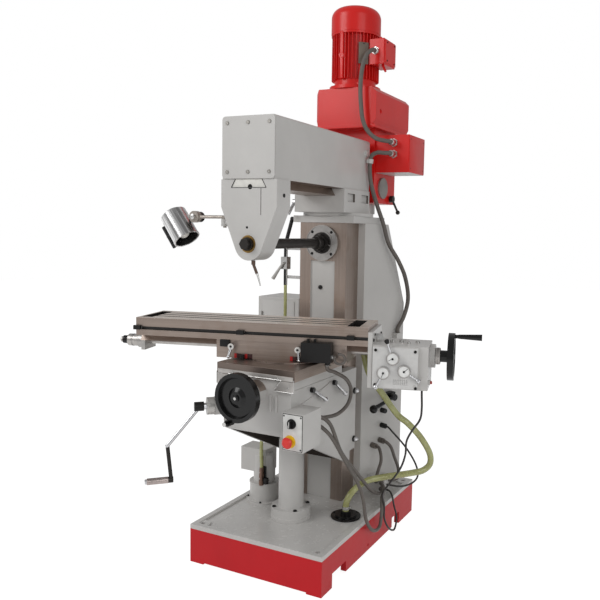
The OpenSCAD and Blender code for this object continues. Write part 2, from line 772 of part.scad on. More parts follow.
module ram_cover() color("gainsboro") {
    along_y(-ram_front - 5, -ram_front)
        translate([0, (ram_low + ram_top) / 2]) round_rect(2 * ram_half - 3, ram_h - 3, ram_edge_r);
    for (x = [-86, 0, 86], z = [ram_low + 24, ram_low + 190])
        translate([x, -ram_front - 5, z]) rotate([90, 0, 0]) cylinder(h = 3, r = 6);
}

// Point where the sloping side of the support meets its boss
side_far = norm([support_half, support_shoulder]);
side_angle = atan2(support_shoulder, support_half) - acos(boss_r / side_far);

module support_outline(top) {
    translate([0, spindle_z]) circle(boss_r);
    polygon([[-support_half, top], [-support_half, spindle_z + support_shoulder],
        [-boss_r * cos(side_angle), spindle_z + boss_r * sin(side_angle)],
        [boss_r * cos(side_angle), spindle_z + boss_r * sin(side_angle)],
        [support_half, spindle_z + support_shoulder], [support_half, top]]);
}

module arbor_support() color("gainsboro") difference() {
    union() {
        along_y(-ram_front, -ram_front + support_d) support_outline(ram_low - slide_fit);
        rod([-80, lamp_pivot.y, lamp_pivot.z], lamp_pivot, 10);
        translate([lamp_pivot.x, lamp_pivot.y, lamp_pivot.z - 13]) cylinder(h = 26, r = 13);
    }
    along_y(-ram_front - eps, -ram_front + support_d + eps)
        tail(tail_half + side_fit, tail_x(ram_low + eps) + side_fit, tail_low, ram_low + eps);
    translate([0, -ram_front + support_d + eps, spindle_z])
        rotate([90, 0, 0]) cylinder(h = support_d + 2 * eps, r = bush_r);
    block(49, 52, front_y - eps, front_y + support_d + eps, ram_low - 122, ram_low - 31);
    translate([-5, -ram_front - eps, spindle_z + boss_r]) rotate([-90, 0, 0]) cylinder(h = 12, r = 4);
    translate([6, front_y - eps, ram_low - 26]) rotate([-90, 0, 0]) cylinder(h = 5, r = 9);
    translate([lamp_pivot.x, lamp_pivot.y, lamp_pivot.z - 20]) cylinder(h = 40, r = 6 + turn_fit);
}

module arbor_bush() color("peru") difference() {
    translate([0, -ram_front + support_d, spindle_z]) rotate([90, 0, 0]) cylinder(h = support_d + 3, r = bush_r);
    translate([0, -ram_front + support_d + eps, spindle_z])
        rotate([90, 0, 0]) cylinder(h = support_d + 6, r = sleeve_r + turn_fit);
}

module coolant_nozzle() color("silver") {
    low = [13, front_y + 14, spindle_z - boss_r];
    rod(low + [0, 0, 0.4], low - [0, 0, 14], 7);
    rod(low - [0, 0, 12], low + [15, 0, -45], 5);
    rod(low + [15, 0, -42], low + [30, 0, -86], 4, 2.5);
}

// Work lamp
lamp_knuckle = lamp_pivot + [-120, -7, 19];
lamp_rear = lamp_knuckle + [-109, 0, 7];
lamp_lens = lamp_knuckle + [-41, -5, -82];
module lamp_arm() color("silver") {
    translate([lamp_pivot.x, lamp_pivot.y, lamp_pivot.z - 18]) cylinder(h = 36, r = 6);
    translate([lamp_pivot.x, lamp_pivot.y, lamp_pivot.z + 13.3]) cylinder(h = 12, r = 11);
    rod([lamp_pivot.x, lamp_pivot.y, lamp_pivot.z + 20],
        [lamp_knuckle.x + 12, lamp_knuckle.y - 8, lamp_knuckle.z], 6);
    difference() {
        translate([lamp_knuckle.x, lamp_knuckle.y + 2, lamp_knuckle.z]) rotate([90, 0, 0]) cylinder(h = 20, r = 21);
        translate([lamp_knuckle.x, lamp_knuckle.y + 3, lamp_knuckle.z]) rotate([90, 0, 0]) cylinder(h = 30, r = 8 + turn_fit);
    }
}

module lamp_head() color("silver") {
    axis = unit(lamp_lens - lamp_rear);
    grip = unit(cross(axis, [0, 1, 0]));
    middle = (lamp_lens + lamp_rear) / 2;
    neck = lamp_knuckle + [-38, 13, -9];
    difference() {
        union() {
            rod(lamp_rear, lamp_lens, lamp_r);
            rod(lamp_rear - 8 * axis, lamp_rear + eps * axis, lamp_r - 12, lamp_r - 2);
            rod(middle + 0.8 * lamp_r * grip, neck, 7);
            translate(neck) sphere(8);
            rod(neck, [lamp_knuckle.x, lamp_knuckle.y + 13, lamp_knuckle.z], 7);
            rod(middle - (lamp_r - 4) * grip, middle - (lamp_r + 20) * grip, 10);
            rod(middle - (lamp_r + 18) * grip - 46 * axis, middle - (lamp_r + 18) * grip + 46 * axis, 7);
            translate([lamp_knuckle.x, lamp_knuckle.y + 22, lamp_knuckle.z]) rotate([90, 0, 0]) cylinder(h = 19.7, r = 19);
            translate([lamp_knuckle.x, lamp_knuckle.y + 22, lamp_knuckle.z]) rotate([90, 0, 0]) cylinder(h = 44, r = 8);
        }
        rod(lamp_rear + 40 * axis, lamp_lens + 2 * axis, lamp_r - sheet_t);
    }
}

// Rear head with its gear housing and motor
module head_body() color("firebrick") difference() {
    union() {
        translate([0, ram_back + 30, tilt_z]) rotate([90, 0, 0]) cylinder(h = 30 - pass_gap, r = tilt_r);
        translate([0, ram_back + eps, tilt_z]) rotate([90, 0, 0]) cylinder(h = 56, r = tilt_pin_r);
        block(-head_half, head_half, ram_back + 30, head_back, head_low, housing_low - 13);
        block(-housing_half - 5, housing_half + 5, housing_front - 4, housing_front + housing_d,
            housing_low - 13, housing_low);
        translate([head_half - eps, quill_y - 87, head_low + 68]) rotate([0, 90, 0]) cylinder(h = 9, r = 46);
    }
    translate([0, quill_y, head_low - eps]) cylinder(h = 290, r = quill_r + turn_fit);
    translate([head_half + eps, quill_y, head_low + 25]) rotate([0, -90, 0]) cylinder(h = 40, r = 9 + turn_fit);
}

module gear_housing() color("firebrick") difference() {
    intersection() {
        block(-housing_half, housing_half, housing_front, housing_front + housing_d,
            housing_low, motor_low);
        // Chamfered front corners and roof
        translate([0, 0, housing_low - eps]) linear_extrude(housing_h + 2 * eps)
            polygon([[-housing_half, housing_front + 16], [-housing_half + 16, housing_front],
                [housing_half - 16, housing_front], [housing_half, housing_front + 16],
                [housing_half, housing_front + housing_d], [-housing_half, housing_front + housing_d]]);
        along_y(housing_front - eps, housing_front + housing_d + eps)
            polygon([[-housing_half + 12, housing_low - eps], [housing_half - 12, housing_low - eps],
                [housing_half, housing_low + 24], [housing_half, motor_low - 18],
                [housing_half - 18, motor_low + eps], [-housing_half + 18, motor_low + eps],
                [-housing_half, motor_low - 18], [-housing_half, housing_low + 24]]);
    }
    block(-housing_half + 12, housing_half - 12, housing_front + 12, housing_front + housing_d - 12,
        housing_low - eps, motor_low - 12);
    translate([housing_half + eps, 290, housing_low + 62]) rotate([0, -90, 0]) cylinder(h = 6, r = 9);
}

module electric_box() color("firebrick") {
    difference() {
        block(head_half, head_half + ebox_w, ebox_front, ebox_front + ebox_d, ebox_low, ebox_low + ebox_h);
        block(head_half + sheet_t, head_half + ebox_w - sheet_t, ebox_front + sheet_t,
            ebox_front + ebox_d - sheet_t, ebox_low + sheet_t, ebox_low + ebox_h - sheet_t);
    }
    for (z = gland_z)
        rod([gland_x, ebox_front, z], [gland_x, gland_y, z], conduit_r + 5);
}

module motor_body() color("firebrick") translate([0, motor_y, 0]) {
    translate([0, 0, motor_low]) cylinder(h = 14, r = motor_r + 8);
    translate([0, 0, motor_low + 14]) cylinder(h = 26, r = motor_r - 14);
    translate([0, 0, motor_low + 39]) cylinder(h = motor_h - 39, r = motor_r - 16);
    translate([0, 0, motor_top - 9]) cylinder(h = 9, r = cowl_r - 1);
    for (i = [0:fin_count - 1])
        rotate([0, 0, 360 * i / fin_count])
            translate([motor_r - 18, -1.5, motor_low + 42])
                cube([18, 3, motor_h - 50]);
}

module motor_cowl() color("red") translate([0, motor_y, motor_top]) difference() {
    rotate_extrude($fn = 96) difference() {
        cowl_profile(cowl_r, cowl_h, cowl_edge_r);
        translate([0, -eps]) cowl_profile(cowl_r - cowl_wall, cowl_h - cowl_wall + eps, cowl_edge_r - cowl_wall);
    }
    for (r = [14:12:50], a = [0:60:300])
        rotate([0, 0, a + 3])
            rotate_extrude(angle = 50, $fn = 96)
                translate([r, cowl_h - 3 * cowl_wall])
                    square([6, 4 * cowl_wall]);
}

// Half section of a cup with a round upper edge
module cowl_profile(r, h, edge) {
    square([r - edge, h]);
    square([r, h - edge]);
    translate([r - edge, h - edge]) circle(edge, $fn = 48);
}

module terminal_box() color("firebrick") {
    difference() {
        block(92, 160, 270, 388, motor_low + 100, motor_low + 206);
        translate([0, motor_y, motor_low + 90]) cylinder(h = 130, r = motor_r + 0.2);
    }
    block(160, 166, 276, 382, motor_low + 106, motor_low + 200);
    rod([motor_gland.x, 271, motor_gland.z], motor_gland, 14);
}

module quill() color("silver") difference() {
    translate([0, quill_y, quill_low]) cylinder(h = 300, r = quill_r);
    translate([0, quill_y, quill_low - eps]) cylinder(h = 310, r = spindle_r + turn_fit);
}

module vertical_spindle() color("dimgray") difference() {
    union() {
        translate([0, quill_y, quill_low - 17]) cylinder(h = 300, r = spindle_r);
        translate([0, quill_y, quill_low - 17]) cylinder(h = 17 - pass_gap, r = spindle_r + 6);
    }
    translate([0, quill_y, quill_low - 17 - eps]) cylinder(h = 90, r = taper_r);
    for (i = [-1, 1])
        translate([i * (spindle_r - 1) - 8, quill_y - 6, quill_low - 17 - eps]) cube([16, 12, 9]);
}

module quill_lever() color("silver") {
    z = head_low + 25;
    rod([head_half - 34, quill_y, z], [head_half + 14, quill_y, z], 9);
    rod([head_half + 4, quill_y, z], [head_half + 20, quill_y, z], 15);
    rod([head_half + 12, quill_y, z], [head_half + 28, quill_y + 34, z - 60], 5);
    translate([head_half + 28, quill_y + 34, z - 60]) sphere(10);
}

// Knee
crank_z = 627;
module crank_frame() {
    translate([-knee_half, -knee_front, crank_z])
        rotate([0, 0, 225])
            children();
}

module knee() color("gainsboro") {
    difference() {
        union() {
            along_x(-knee_half, knee_half)
                polygon([[-knee_front, knee_low_front + 24], [-knee_front + 10, knee_low_front],
                    [27, knee_low_back], [way_y - slide_fit, knee_low_back],
                    [way_y - slide_fit, knee_top], [-knee_front, knee_top]]);
            for (i = [-1, 1])
                block(i < 0 ? -knee_half : way_half + slide_fit, i < 0 ? -way_half - slide_fit : knee_half,
                    way_y - eps, way_y + 46, knee_low_back + 40, knee_top);
            along_y(-knee_front, way_y - slide_fit)
                tail(cross_x(knee_top - eps), cross_x(saddle_low - slide_fit), knee_top - eps, saddle_low - slide_fit);
            crank_frame() rotate([0, 90, 0]) translate([0, 0, -34]) cylinder(h = 69, r = 34);
            rod([0, -knee_front + eps, cross_z], [0, -knee_front - 40, cross_z], 42);
        }
        along_x(-knee_half + knee_wall, knee_half - knee_wall)
            polygon([[-knee_front + knee_wall, knee_low_back - 100],
                [way_y - knee_wall, knee_low_back - 100],
                [way_y - knee_wall, knee_top - knee_wall], [-knee_front + knee_wall, knee_top - knee_wall]]);
        crank_frame() rotate([0, 90, 0]) translate([0, 0, -60]) cylinder(h = 100, r = 12 + turn_fit);
        rod([0, -knee_front - 41, cross_z], [0, -knee_front + 60, cross_z], 10 + turn_fit);
        for (p = [[-269, 690], [-96, 684]])
            rod([knee_half + eps, p.x, p.y], [knee_half - 12, p.x, p.y], 6 + turn_fit);
    }
    translate([0, -pedestal_y, lead_low]) cylinder(h = knee_top - knee_wall + eps - lead_low, r = lead_r);
}

module control_box() color("lightgray") difference() {
    union() {
        block(knee_half, panel_side, panel_y[0], panel_y[1], panel_z[0], panel_z[1]);
        for (p = [[216, 612], [208, 580], [198, 604]])
            rod([p.x, panel_y[1] - eps, p.y], [p.x, panel_gland, p.y], 9.5);
    }
    block(knee_half + 3, panel_side - 3, panel_y[0] + 3, panel_y[1] - 3, panel_z[0] + 3, panel_z[1] - 3);
    rod([stop_at.x, panel_y[0] - eps, stop_at.y], [stop_at.x, panel_y[0] + 25, stop_at.y], 8 + turn_fit);
    rod([switch_at.x, panel_y[0] - eps, switch_at.y], [switch_at.x, panel_y[0] + 25, switch_at.y], 7 + turn_fit);
}

module emergency_stop() color("red") {
    y = panel_y[0];
    rod([stop_at.x, y + 21, stop_at.y], [stop_at.x, y - 17, stop_at.y], 8);
    rod([stop_at.x, y - 9, stop_at.y], [stop_at.x, y - 23, stop_at.y], 13, 20);
    rod([stop_at.x, y - 22.9, stop_at.y], [stop_at.x, y - 30, stop_at.y], 20, 14);
}

module rotary_switch() color("black") {
    y = panel_y[0];
    rod([switch_at.x, y + 17, switch_at.y], [switch_at.x, y - 3, switch_at.y], 7);
    rod([switch_at.x, y - 0.3, switch_at.y], [switch_at.x, y - 9, switch_at.y], 14);
    block(switch_at.x - 4, switch_at.x + 4, y - 21, y - 8, switch_at.y - 13, switch_at.y + 13);
}

// Dished wheel turned about its axis, in its own frame
module dished_wheel(r, rim, deep) {
    rotate_extrude($fn = 96)
        polygon([[0, 0], [26, 0], [34, deep * 0.15], [r - rim - 8, deep * 0.15], [r - rim, 0], [r, 0],
            [r, deep], [r - rim, deep], [r - rim - 6, deep * 0.5], [36, deep * 0.5], [22, deep * 0.85],
            [0, deep * 0.85]]);
}

module cross_handwheel() color("black") {
    wheel = [0, -knee_front - 102, cross_z];
    ear = wheel - [31, 0, cross_wheel_r + 5];
    rod(wheel + [0, -28, 0], [0, -knee_front + 30, cross_z], 10);
    rod([0, -knee_front - 42, cross_z], [0, -knee_front - 70, cross_z], 33);
    rod([0, -knee_front - 69, cross_z], wheel + [0, -8, 0], 20);
    translate(wheel) rotate([90, 0, 0]) dished_wheel(cross_wheel_r, wheel_rim_w, wheel_rim_t);
    rod(ear, ear + [0, -28, 0], 12);
    rod(ear + [0, -27, 0], ear + [0, -44, 0], 8);
}

module elevation_crank() color("silver") crank_frame() {
    rod([-20, 0, 0], [104, 0, 0], 12);
    rod([36, 0, 0], [62, 0, 0], 32);
    rod([72, 0, 0], [106, 0, 0], 17);
    rod([94, 0, -10], [200, 0, -137], 7);
    rod([200, 0, -137], [188, 0, -crank_drop + 6], 7);
    translate([200, 0, -137]) sphere(8);
    rod([180, 0, -crank_drop], [197, 0, -crank_drop], 11);
    rod([186, 0, -crank_drop], [276, 0, -crank_drop], 5);
    rod([272.3, 0, -crank_drop], [279, 0, -crank_drop], 9);
}

module crank_grip() color("silver") crank_frame() difference() {
    rod([197.3, 0, -crank_drop], [272, 0, -crank_drop], 12);
    rod([197, 0, -crank_drop], [273, 0, -crank_drop], 5 + turn_fit);
}

module knee_lever(y, z, reach, drop) {
    rod([knee_half - 11, y, z], [knee_half + 14, y, z], 6);
    rod([knee_half + 0.3, y, z], [knee_half + 14, y, z], 10);
    rod([knee_half + 8, y, z], [knee_half + 20, y + reach, z - drop], 5, 7);
    translate([knee_half + 20, y + reach, z - drop]) sphere(10);
}

module knee_lever_front() color("silver") knee_lever(-269, 690, 76, 50);
module knee_lever_back() color("silver") knee_lever(-96, 684, 66, 54);

// Saddle and swivel carriage
module saddle() color("rosybrown") {
    along_y(-saddle_front, -saddle_front + saddle_d) polygon([
        [-saddle_half, saddle_low], [-saddle_half, saddle_top], [saddle_half, saddle_top],
        [saddle_half, saddle_low], [knee_half - 2, saddle_low], [knee_half - 2, jaw_low],
        [cross_x(jaw_low) + side_fit, jaw_low], [cross_half + side_fit, saddle_low],
        [-cross_half - side_fit, saddle_low], [-cross_x(jaw_low) - side_fit, jaw_low],
        [-knee_half + 2, jaw_low], [-knee_half + 2, saddle_low]]);
    translate([0, -swivel_y, saddle_top - eps]) cylinder(h = 5, r = disc_r);
    translate([0, -swivel_y, saddle_top]) cylinder(h = 22, r = 30);
}

jaw_low = knee_top + slide_fit;
carriage_low = saddle_top + 4 + slide_fit;
module swivel_carriage() color("rosybrown") table_frame() difference() {
    union() {
        block(-carriage_half, carriage_half, -carriage_w, carriage_w, carriage_low, band_low - slide_fit);
        for (u = [-145, 74])
            rod([u, -carriage_w - 12, carriage_low + 0.3], [u, -carriage_w - 12, carriage_low + 16], 9);
        for (u = [-145, 74])
            block(u - 6, u + 6, -carriage_w - 12, -carriage_w + 20, carriage_low + 3, carriage_low + 9);
    }
    along_x(-carriage_half - eps, carriage_half + eps)
        tail(long_half + side_fit, long_x(band_low + eps) + side_fit, tail_foot - slide_fit, band_low + eps);
    for (i = [-1, 1])
        rod([i * 30, 0, screw_z], [i * (carriage_half + eps), 0, screw_z], screw_r + 1.5);
    rod([-31, 0, screw_z], [31, 0, screw_z], screw_r + turn_fit);
    for (u = [[-180, -151.2], [-138.8, -109], [36, 67.8], [80.2, 112]])
        block(u.x, u.y, -carriage_w - eps, -carriage_w + 20, carriage_low - eps, carriage_low + 18);
    translate([0, 0, carriage_low - eps]) cylinder(h = 21, r = 30 + turn_fit);
    for (u = lock_u)
        rod([u, -carriage_w - eps, lock_z], [u, -carriage_w + 14, lock_z], 6 + turn_fit);
}

module table_lock(u, lean) table_frame() {
    tip = [u + lean, -carriage_w - 32, lock_z - 37];
    rod([u, -carriage_w + 13, lock_z], [u, -carriage_w - 26, lock_z], 6);
    rod([u, -carriage_w - pass_gap, lock_z], [u, -carriage_w - 26, lock_z], 12);
    rod([u, -carriage_w - 20, lock_z], tip, 6, 5);
    translate(tip) sphere(7);
}

module table_lock_left() color("silver") table_lock(lock_u[0], -7);
module table_lock_right() color("silver") table_lock(lock_u[1], 8);

module limit_switch() color("black") table_frame() {
    block(limit_u[0] + 2, limit_u[1] - 1, -carriage_w - 12, -carriage_w, limit_low + 5, limit_low + 57);
    block(limit_u[0], limit_u[1], -carriage_w - 50, -carriage_w - 12, limit_low, limit_low + 71);
    for (u = [limit_u[0] + 20, limit_u[0] + 45])
        rod([u, -carriage_w - 20, limit_low + 70], [u, -carriage_w - 20, limit_low + 81], 5);
    rod([switch_u, switch_v, limit_low + 1], [switch_u, switch_v, limit_low - 9], 9);
}

// Table
module table() color("rosybrown") table_frame() difference() {
    union() {
        block(-table_left, table_right, -table_w / 2, table_w / 2, band_low, table_top);
        along_x(-table_left, table_right) tail(long_half, long_x(band_low + eps), tail_foot, band_low + eps);
    }
    for (i = [0:slot_count - 1]) {
        v = (i - (slot_count - 1) / 2) * slot_pitch;
        block(-table_left + 50, table_right - 80, v - slot_w / 2, v + slot_w / 2, table_top - 24, table_top + eps);
        block(-table_left + 50, table_right - 80, v - slot_foot_w / 2, v + slot_foot_w / 2,
            table_top - 24, table_top - 13);
    }
    block(-table_left + 10, -table_left + 53, -88, 88, table_top - 26, table_top + eps);
    block(table_right - 83, table_right - 37, -88, 88, table_top - 26, table_top + eps);
    block(-table_left - eps, table_right + eps, -table_w / 2 - eps, -table_w / 2 + 8,
        table_top - 46, table_top - 34);
    rod([drain_u, drain_v, band_low - eps], [drain_u, drain_v, table_top - 20], 8);
    rod([drain_u, drain_v - 16, table_top - 24], [drain_u, drain_v, table_top - 24], 6);
}

module table_brackets() color("lightgray") table_frame() {
    // Right bracket
    difference() {
        block(table_right, box_in, -table_w / 2, table_w / 2, box_low, table_top - 15);
        rod([table_right - eps, 0, screw_z], [box_in + eps, 0, screw_z], screw_r + turn_fit);
    }
    // Left bracket
    difference() {
        union() {
            block(-table_left - 16, -table_left, -44, 44, screw_z - 30, band_low + 8);
            rod([-table_left - 43, 0, screw_z], [-table_left, 0, screw_z], 29);
        }
        rod([-table_left - 44, 0, screw_z], [-table_left + eps, 0, screw_z], screw_r + turn_fit);
    }
    // Dogs in the front groove
    for (u = [-table_left + 8, -152, table_right - 63]) {
        block(u - 14, u + 14, -table_w / 2 - 12, -table_w / 2, table_top - 46, table_top - 30);
        block(u - 12, u + 12, -table_w / 2 - eps, -table_w / 2 + 7, table_top - 45, table_top - 34.5);
    }
}

plate_v = -gearbox_front - 10;
collar_l = 18;
selector_places = [for (p = [[78, 115], [45, 62], [120, 71]]) [box_in + p.x, box_low + p.y]];
selector_knobs = [for (p = [[55, 176], [18, 9], [171, 40]]) [box_in + p.x, box_low + p.y]];
module feed_gearbox() color("gainsboro") table_frame() difference() {
    union() {
        block(box_in, box_out, -gearbox_front, gearbox_back, box_low, box_top);
        block(box_in + 2, box_out - 34, plate_v, -gearbox_front, box_low + 2, box_top - 2);
        rod([box_out, 0, screw_z], [box_out + collar_l, 0, screw_z], 44);
        for (u = [box_in + 14, box_out - 46], z = [box_low + 16, box_top - 16])
            rod([u, plate_v, z], [u, plate_v - 3, z], 6);
        rod([box_out, -80, box_low + 26], [box_out + 7, -80, box_low + 26], 9);
    }
    block(box_in + 8, box_out - 8, -gearbox_front + 10, gearbox_back - 8, box_low + 8, box_top - 8);
    rod([box_in - eps, 0, screw_z], [box_out + collar_l + eps, 0, screw_z], screw_r + turn_fit);
    for (p = selector_places)
        rod([p.x, plate_v - eps, p.y], [p.x, plate_v + 28, p.y], 7 + turn_fit);
}

module selector(i) table_frame() {
    p = selector_places[i];
    k = selector_knobs[i];
    rod([p.x, plate_v + 26, p.y], [p.x, plate_v - 2, p.y], 7);
    rod([p.x, plate_v - pass_gap, p.y], [p.x, plate_v - 16, p.y], selector_r);
    rod([p.x, plate_v - 12, p.y], [k.x, plate_v - 12, k.y], 4);
    translate([k.x, plate_v - 12, k.y]) sphere(8);
}

module selector_top() color("silver") selector(0);
module selector_left() color("silver") selector(1);
module selector_right() color("silver") selector(2);

module table_screw() color("silver") table_frame() {
    rod([-table_left - 123, 0, screw_z], [box_out + 60, 0, screw_z], screw_r);
    rod([-table_left - 43 - pass_gap, 0, screw_z], [-table_left - 89, 0, screw_z], 24);
    rod([box_out + collar_l + pass_gap, 0, screw_z], [box_out + collar_l + 18, 0, screw_z], 31);
}

module table_handwheel() color("black") table_frame() difference() {
    grip = [box_out + 100, 0, screw_z + wheel_r - 12];
    union() {
        rod([box_out + collar_l + 18 + pass_gap, 0, screw_z], [box_out + 67, 0, screw_z], 22);
        translate([box_out + 64, 0, screw_z]) rotate([0, 90, 0]) dished_wheel(wheel_r, wheel_rim_w, wheel_rim_t - 2);
        rod(grip - [18, 0, 0], grip + [2, 0, 0], 7);
        rod(grip, grip + [wheel_grip_l, 0, 0], 8, 12);
    }
    rod([box_out + 12, 0, screw_z], [box_out + 60, 0, screw_z], screw_r + 0.01);
}

// Cords
module motor_conduit() color("dimgray") tube(motor_conduit_route, conduit_r);
module head_conduit() color("dimgray") tube(head_conduit_route, conduit_r);
module drain_hose() color("khaki") tube(drain_route, hose_r);
module gearbox_cable() color("black") tube(gearbox_cable_route, cable_r, 8);
module foot_conduits() color("dimgray") {
    tube(side_cable_route, cable_r, 8);
    tube(conduit_a_route, thin_r);
    tube(conduit_b_route, thin_r);
    tube(panel_route_one, thin_r);
    tube(panel_route_two, thin_r);
}
module switch_conduit() color("dimgray") tube(switch_route, thin_r);
module pump_hose() color("khaki") tube(pump_route, thin_r);

base_skirt();
coolant_tray();
column();
turret();
turret_lever();
spindle_flange();
electrical_cabinet();
screw_pedestal();
coolant_pump();
drain_flange();
side_fittings();
column_lever();
coolant_line();
valve_lever();
spindle_arbor();
ram();
ram_cover();
arbor_support();
arbor_bush();
coolant_nozzle();
lamp_arm();
lamp_head();
head_body();
gear_housing();
electric_box();
motor_body();
motor_cowl();
terminal_box();
quill();
vertical_spindle();
quill_lever();
knee();
control_box();
emergency_stop();
rotary_switch();
cross_handwheel();
elevation_crank();
crank_grip();
knee_lever_front();
knee_lever_back();
saddle();
swivel_carriage();
table_lock_left();
table_lock_right();
limit_switch();
table();
table_brackets();
feed_gearbox();
selector_top();
selector_left();
selector_right();
table_screw();
table_handwheel();
motor_conduit();
head_conduit();
drain_hose();
gearbox_cable();
foot_conduits();
switch_conduit();
pump_hose();
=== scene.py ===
"""Looks of a knee and column milling machine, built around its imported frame."""

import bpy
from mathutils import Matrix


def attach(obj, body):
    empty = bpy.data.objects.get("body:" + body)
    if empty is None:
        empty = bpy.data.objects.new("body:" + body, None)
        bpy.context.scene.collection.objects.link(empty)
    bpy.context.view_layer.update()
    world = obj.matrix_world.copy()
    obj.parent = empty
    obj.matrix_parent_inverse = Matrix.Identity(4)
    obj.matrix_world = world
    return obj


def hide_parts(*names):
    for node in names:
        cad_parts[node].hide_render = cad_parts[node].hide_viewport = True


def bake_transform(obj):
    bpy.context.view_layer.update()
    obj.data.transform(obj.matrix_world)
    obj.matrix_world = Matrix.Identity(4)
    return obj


bl_info = {
    "name": "Milling machine",
    "version": (1, 0, 0),
    "blender": (4, 5, 0),
    "location": "View3D > Sidebar > Mill",
    "description": "Paint, machined faces, cords and fittings of a knee and column milling machine",
    "category": "Add Mesh",
}

import math

import bmesh
import bpy
import numpy as np
from mathutils import Matrix

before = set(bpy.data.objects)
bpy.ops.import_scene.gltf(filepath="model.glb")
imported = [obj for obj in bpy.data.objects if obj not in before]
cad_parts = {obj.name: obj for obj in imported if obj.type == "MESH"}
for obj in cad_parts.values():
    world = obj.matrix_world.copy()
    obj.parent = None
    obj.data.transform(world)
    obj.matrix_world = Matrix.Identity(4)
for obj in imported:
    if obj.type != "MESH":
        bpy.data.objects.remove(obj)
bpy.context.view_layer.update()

MM = 0.001
SWIVEL = math.radians(15.6)
SWIVEL_Y = -198.0
SPINDLE_Z = 1224
MOTOR_Y = 324
PANEL_Y = -465
WHEEL_Z = 697
SCREW_Z = 822
PUMP_AT = (-170, -122)
DRAIN_AT = (195, -65)
X, Y, Z = np.eye(3)


# ---------------------------------------------------------------- surfaces
def unit(v):
    """A vector divided by its length."""
    v = np.asarray(v, float)
    return v / np.linalg.norm(v, axis=-1, keepdims=True)


def on_table(points):
    """Points along, across and above the swivelled table, turned into the row frame."""
    p = np.atleast_2d(np.asarray(points, float))
    c, s = math.cos(SWIVEL), math.sin(SWIVEL)
    out = np.stack([p[:, 0] * c - p[:, 1] * s, p[:, 0] * s + p[:, 1] * c + SWIVEL_Y, p[:, 2]], 1)
    return out if np.ndim(points) > 1 else out[0]


TABLE_U, TABLE_V = (on_table(axis) - on_table([0, 0, 0]) for axis in (X, Y))


def spoke(degrees, u=X, v=Y):
    """The unit vector at an angle from u towards v."""
    t = math.radians(degrees)
    return math.cos(t) * u + math.sin(t) * v


def frame_of(axis):
    """Two unit vectors square to an axis, so that first x second = axis."""
    axis = unit(axis)
    side = X if abs(axis[2]) > 0.9 else Z
    first = unit(side - (side @ axis) * axis)
    return first, np.cross(axis, first), axis


def rounded(profile, r, steps=4):
    """A polyline whose inner corners are replaced by arcs: each corner gives way to a quadratic
    curve from r before it to r after it."""
    p = np.asarray(profile, float)
    a, b, c = p[:-2], p[1:-1], p[2:]
    la, lc = np.linalg.norm(a - b, axis=1), np.linalg.norm(c - b, axis=1)
    cut = np.minimum(r, 0.45 * np.minimum(la, lc))[:, None]
    start, end = b + cut * (a - b) / la[:, None], b + cut * (c - b) / lc[:, None]
    t = np.linspace(0, 1, steps + 1)[None, :, None]
    arc = (1 - t) ** 2 * start[:, None] + 2 * t * (1 - t) * b[:, None] + t**2 * end[:, None]
    return np.vstack([p[:1], arc.reshape(-1, 2), p[-1:]])


def round_rect(w, h, r, steps=5):
    """Outline of a rectangle w by h with round corners: four quarter circles of radius r."""
    t = np.linspace(0, math.pi / 2, steps + 1)
    turn = np.arange(4)[:, None] * math.pi / 2 + t[None]
    cx = np.array([1, -1, -1, 1])[:, None] * (w / 2 - r)
    cy = np.array([1, 1, -1, -1])[:, None] * (h / 2 - r)
    return np.stack([cx + r * np.cos(turn), cy + r * np.sin(turn)], -1).reshape(-1, 2)


def corners(w, h):
    """Outline of a rectangle w by h round the origin."""
    return np.array([[-w, -h], [w, -h], [w, h], [-w, h]]) / 2


def inset(outline, d):
    """An outline moved inwards by d: each corner goes along the mean of its two edge normals."""
    p = np.asarray(outline, float)
    edge = unit(np.roll(p, -1, 0) - p)
    n = np.stack([-edge[:, 1], edge[:, 0]], 1)
    m = np.roll(n, 1, 0)
    return p + d * (n + m) / (1 + (n * m).sum(1, keepdims=True))


def tube(path, radius, n):
    """Rings of n points square to a path, at one radius or one radius a point: a vector square to
    the first stretch is carried along and kept square to each next one."""
    p = np.asarray(path, float)
    along = unit(np.gradient(p, axis=0))
    side = frame_of(along[0])[0]
    a = np.arange(n)[:, None] * 2 * math.pi / n
    grid = []
    for here, t, r in zip(p, along, np.broadcast_to(radius, len(p))):
        side = unit(side - (side @ t) * t)
        grid.append(here + r * (np.cos(a) * side + np.sin(a) * np.cross(t, side)))
    return np.array(grid)


def add_object(name, data):
    """A new object of the scene."""
    obj = bpy.data.objects.new(name, data)
    bpy.context.scene.collection.objects.link(obj)
    return obj


def stand(obj, axes, at):
    """Puts an object at a place, with its own axes along three vectors."""
    rows = np.vstack([np.column_stack([*axes, at]), [0, 0, 0, 1]])
    obj.matrix_world = Matrix(rows.tolist())


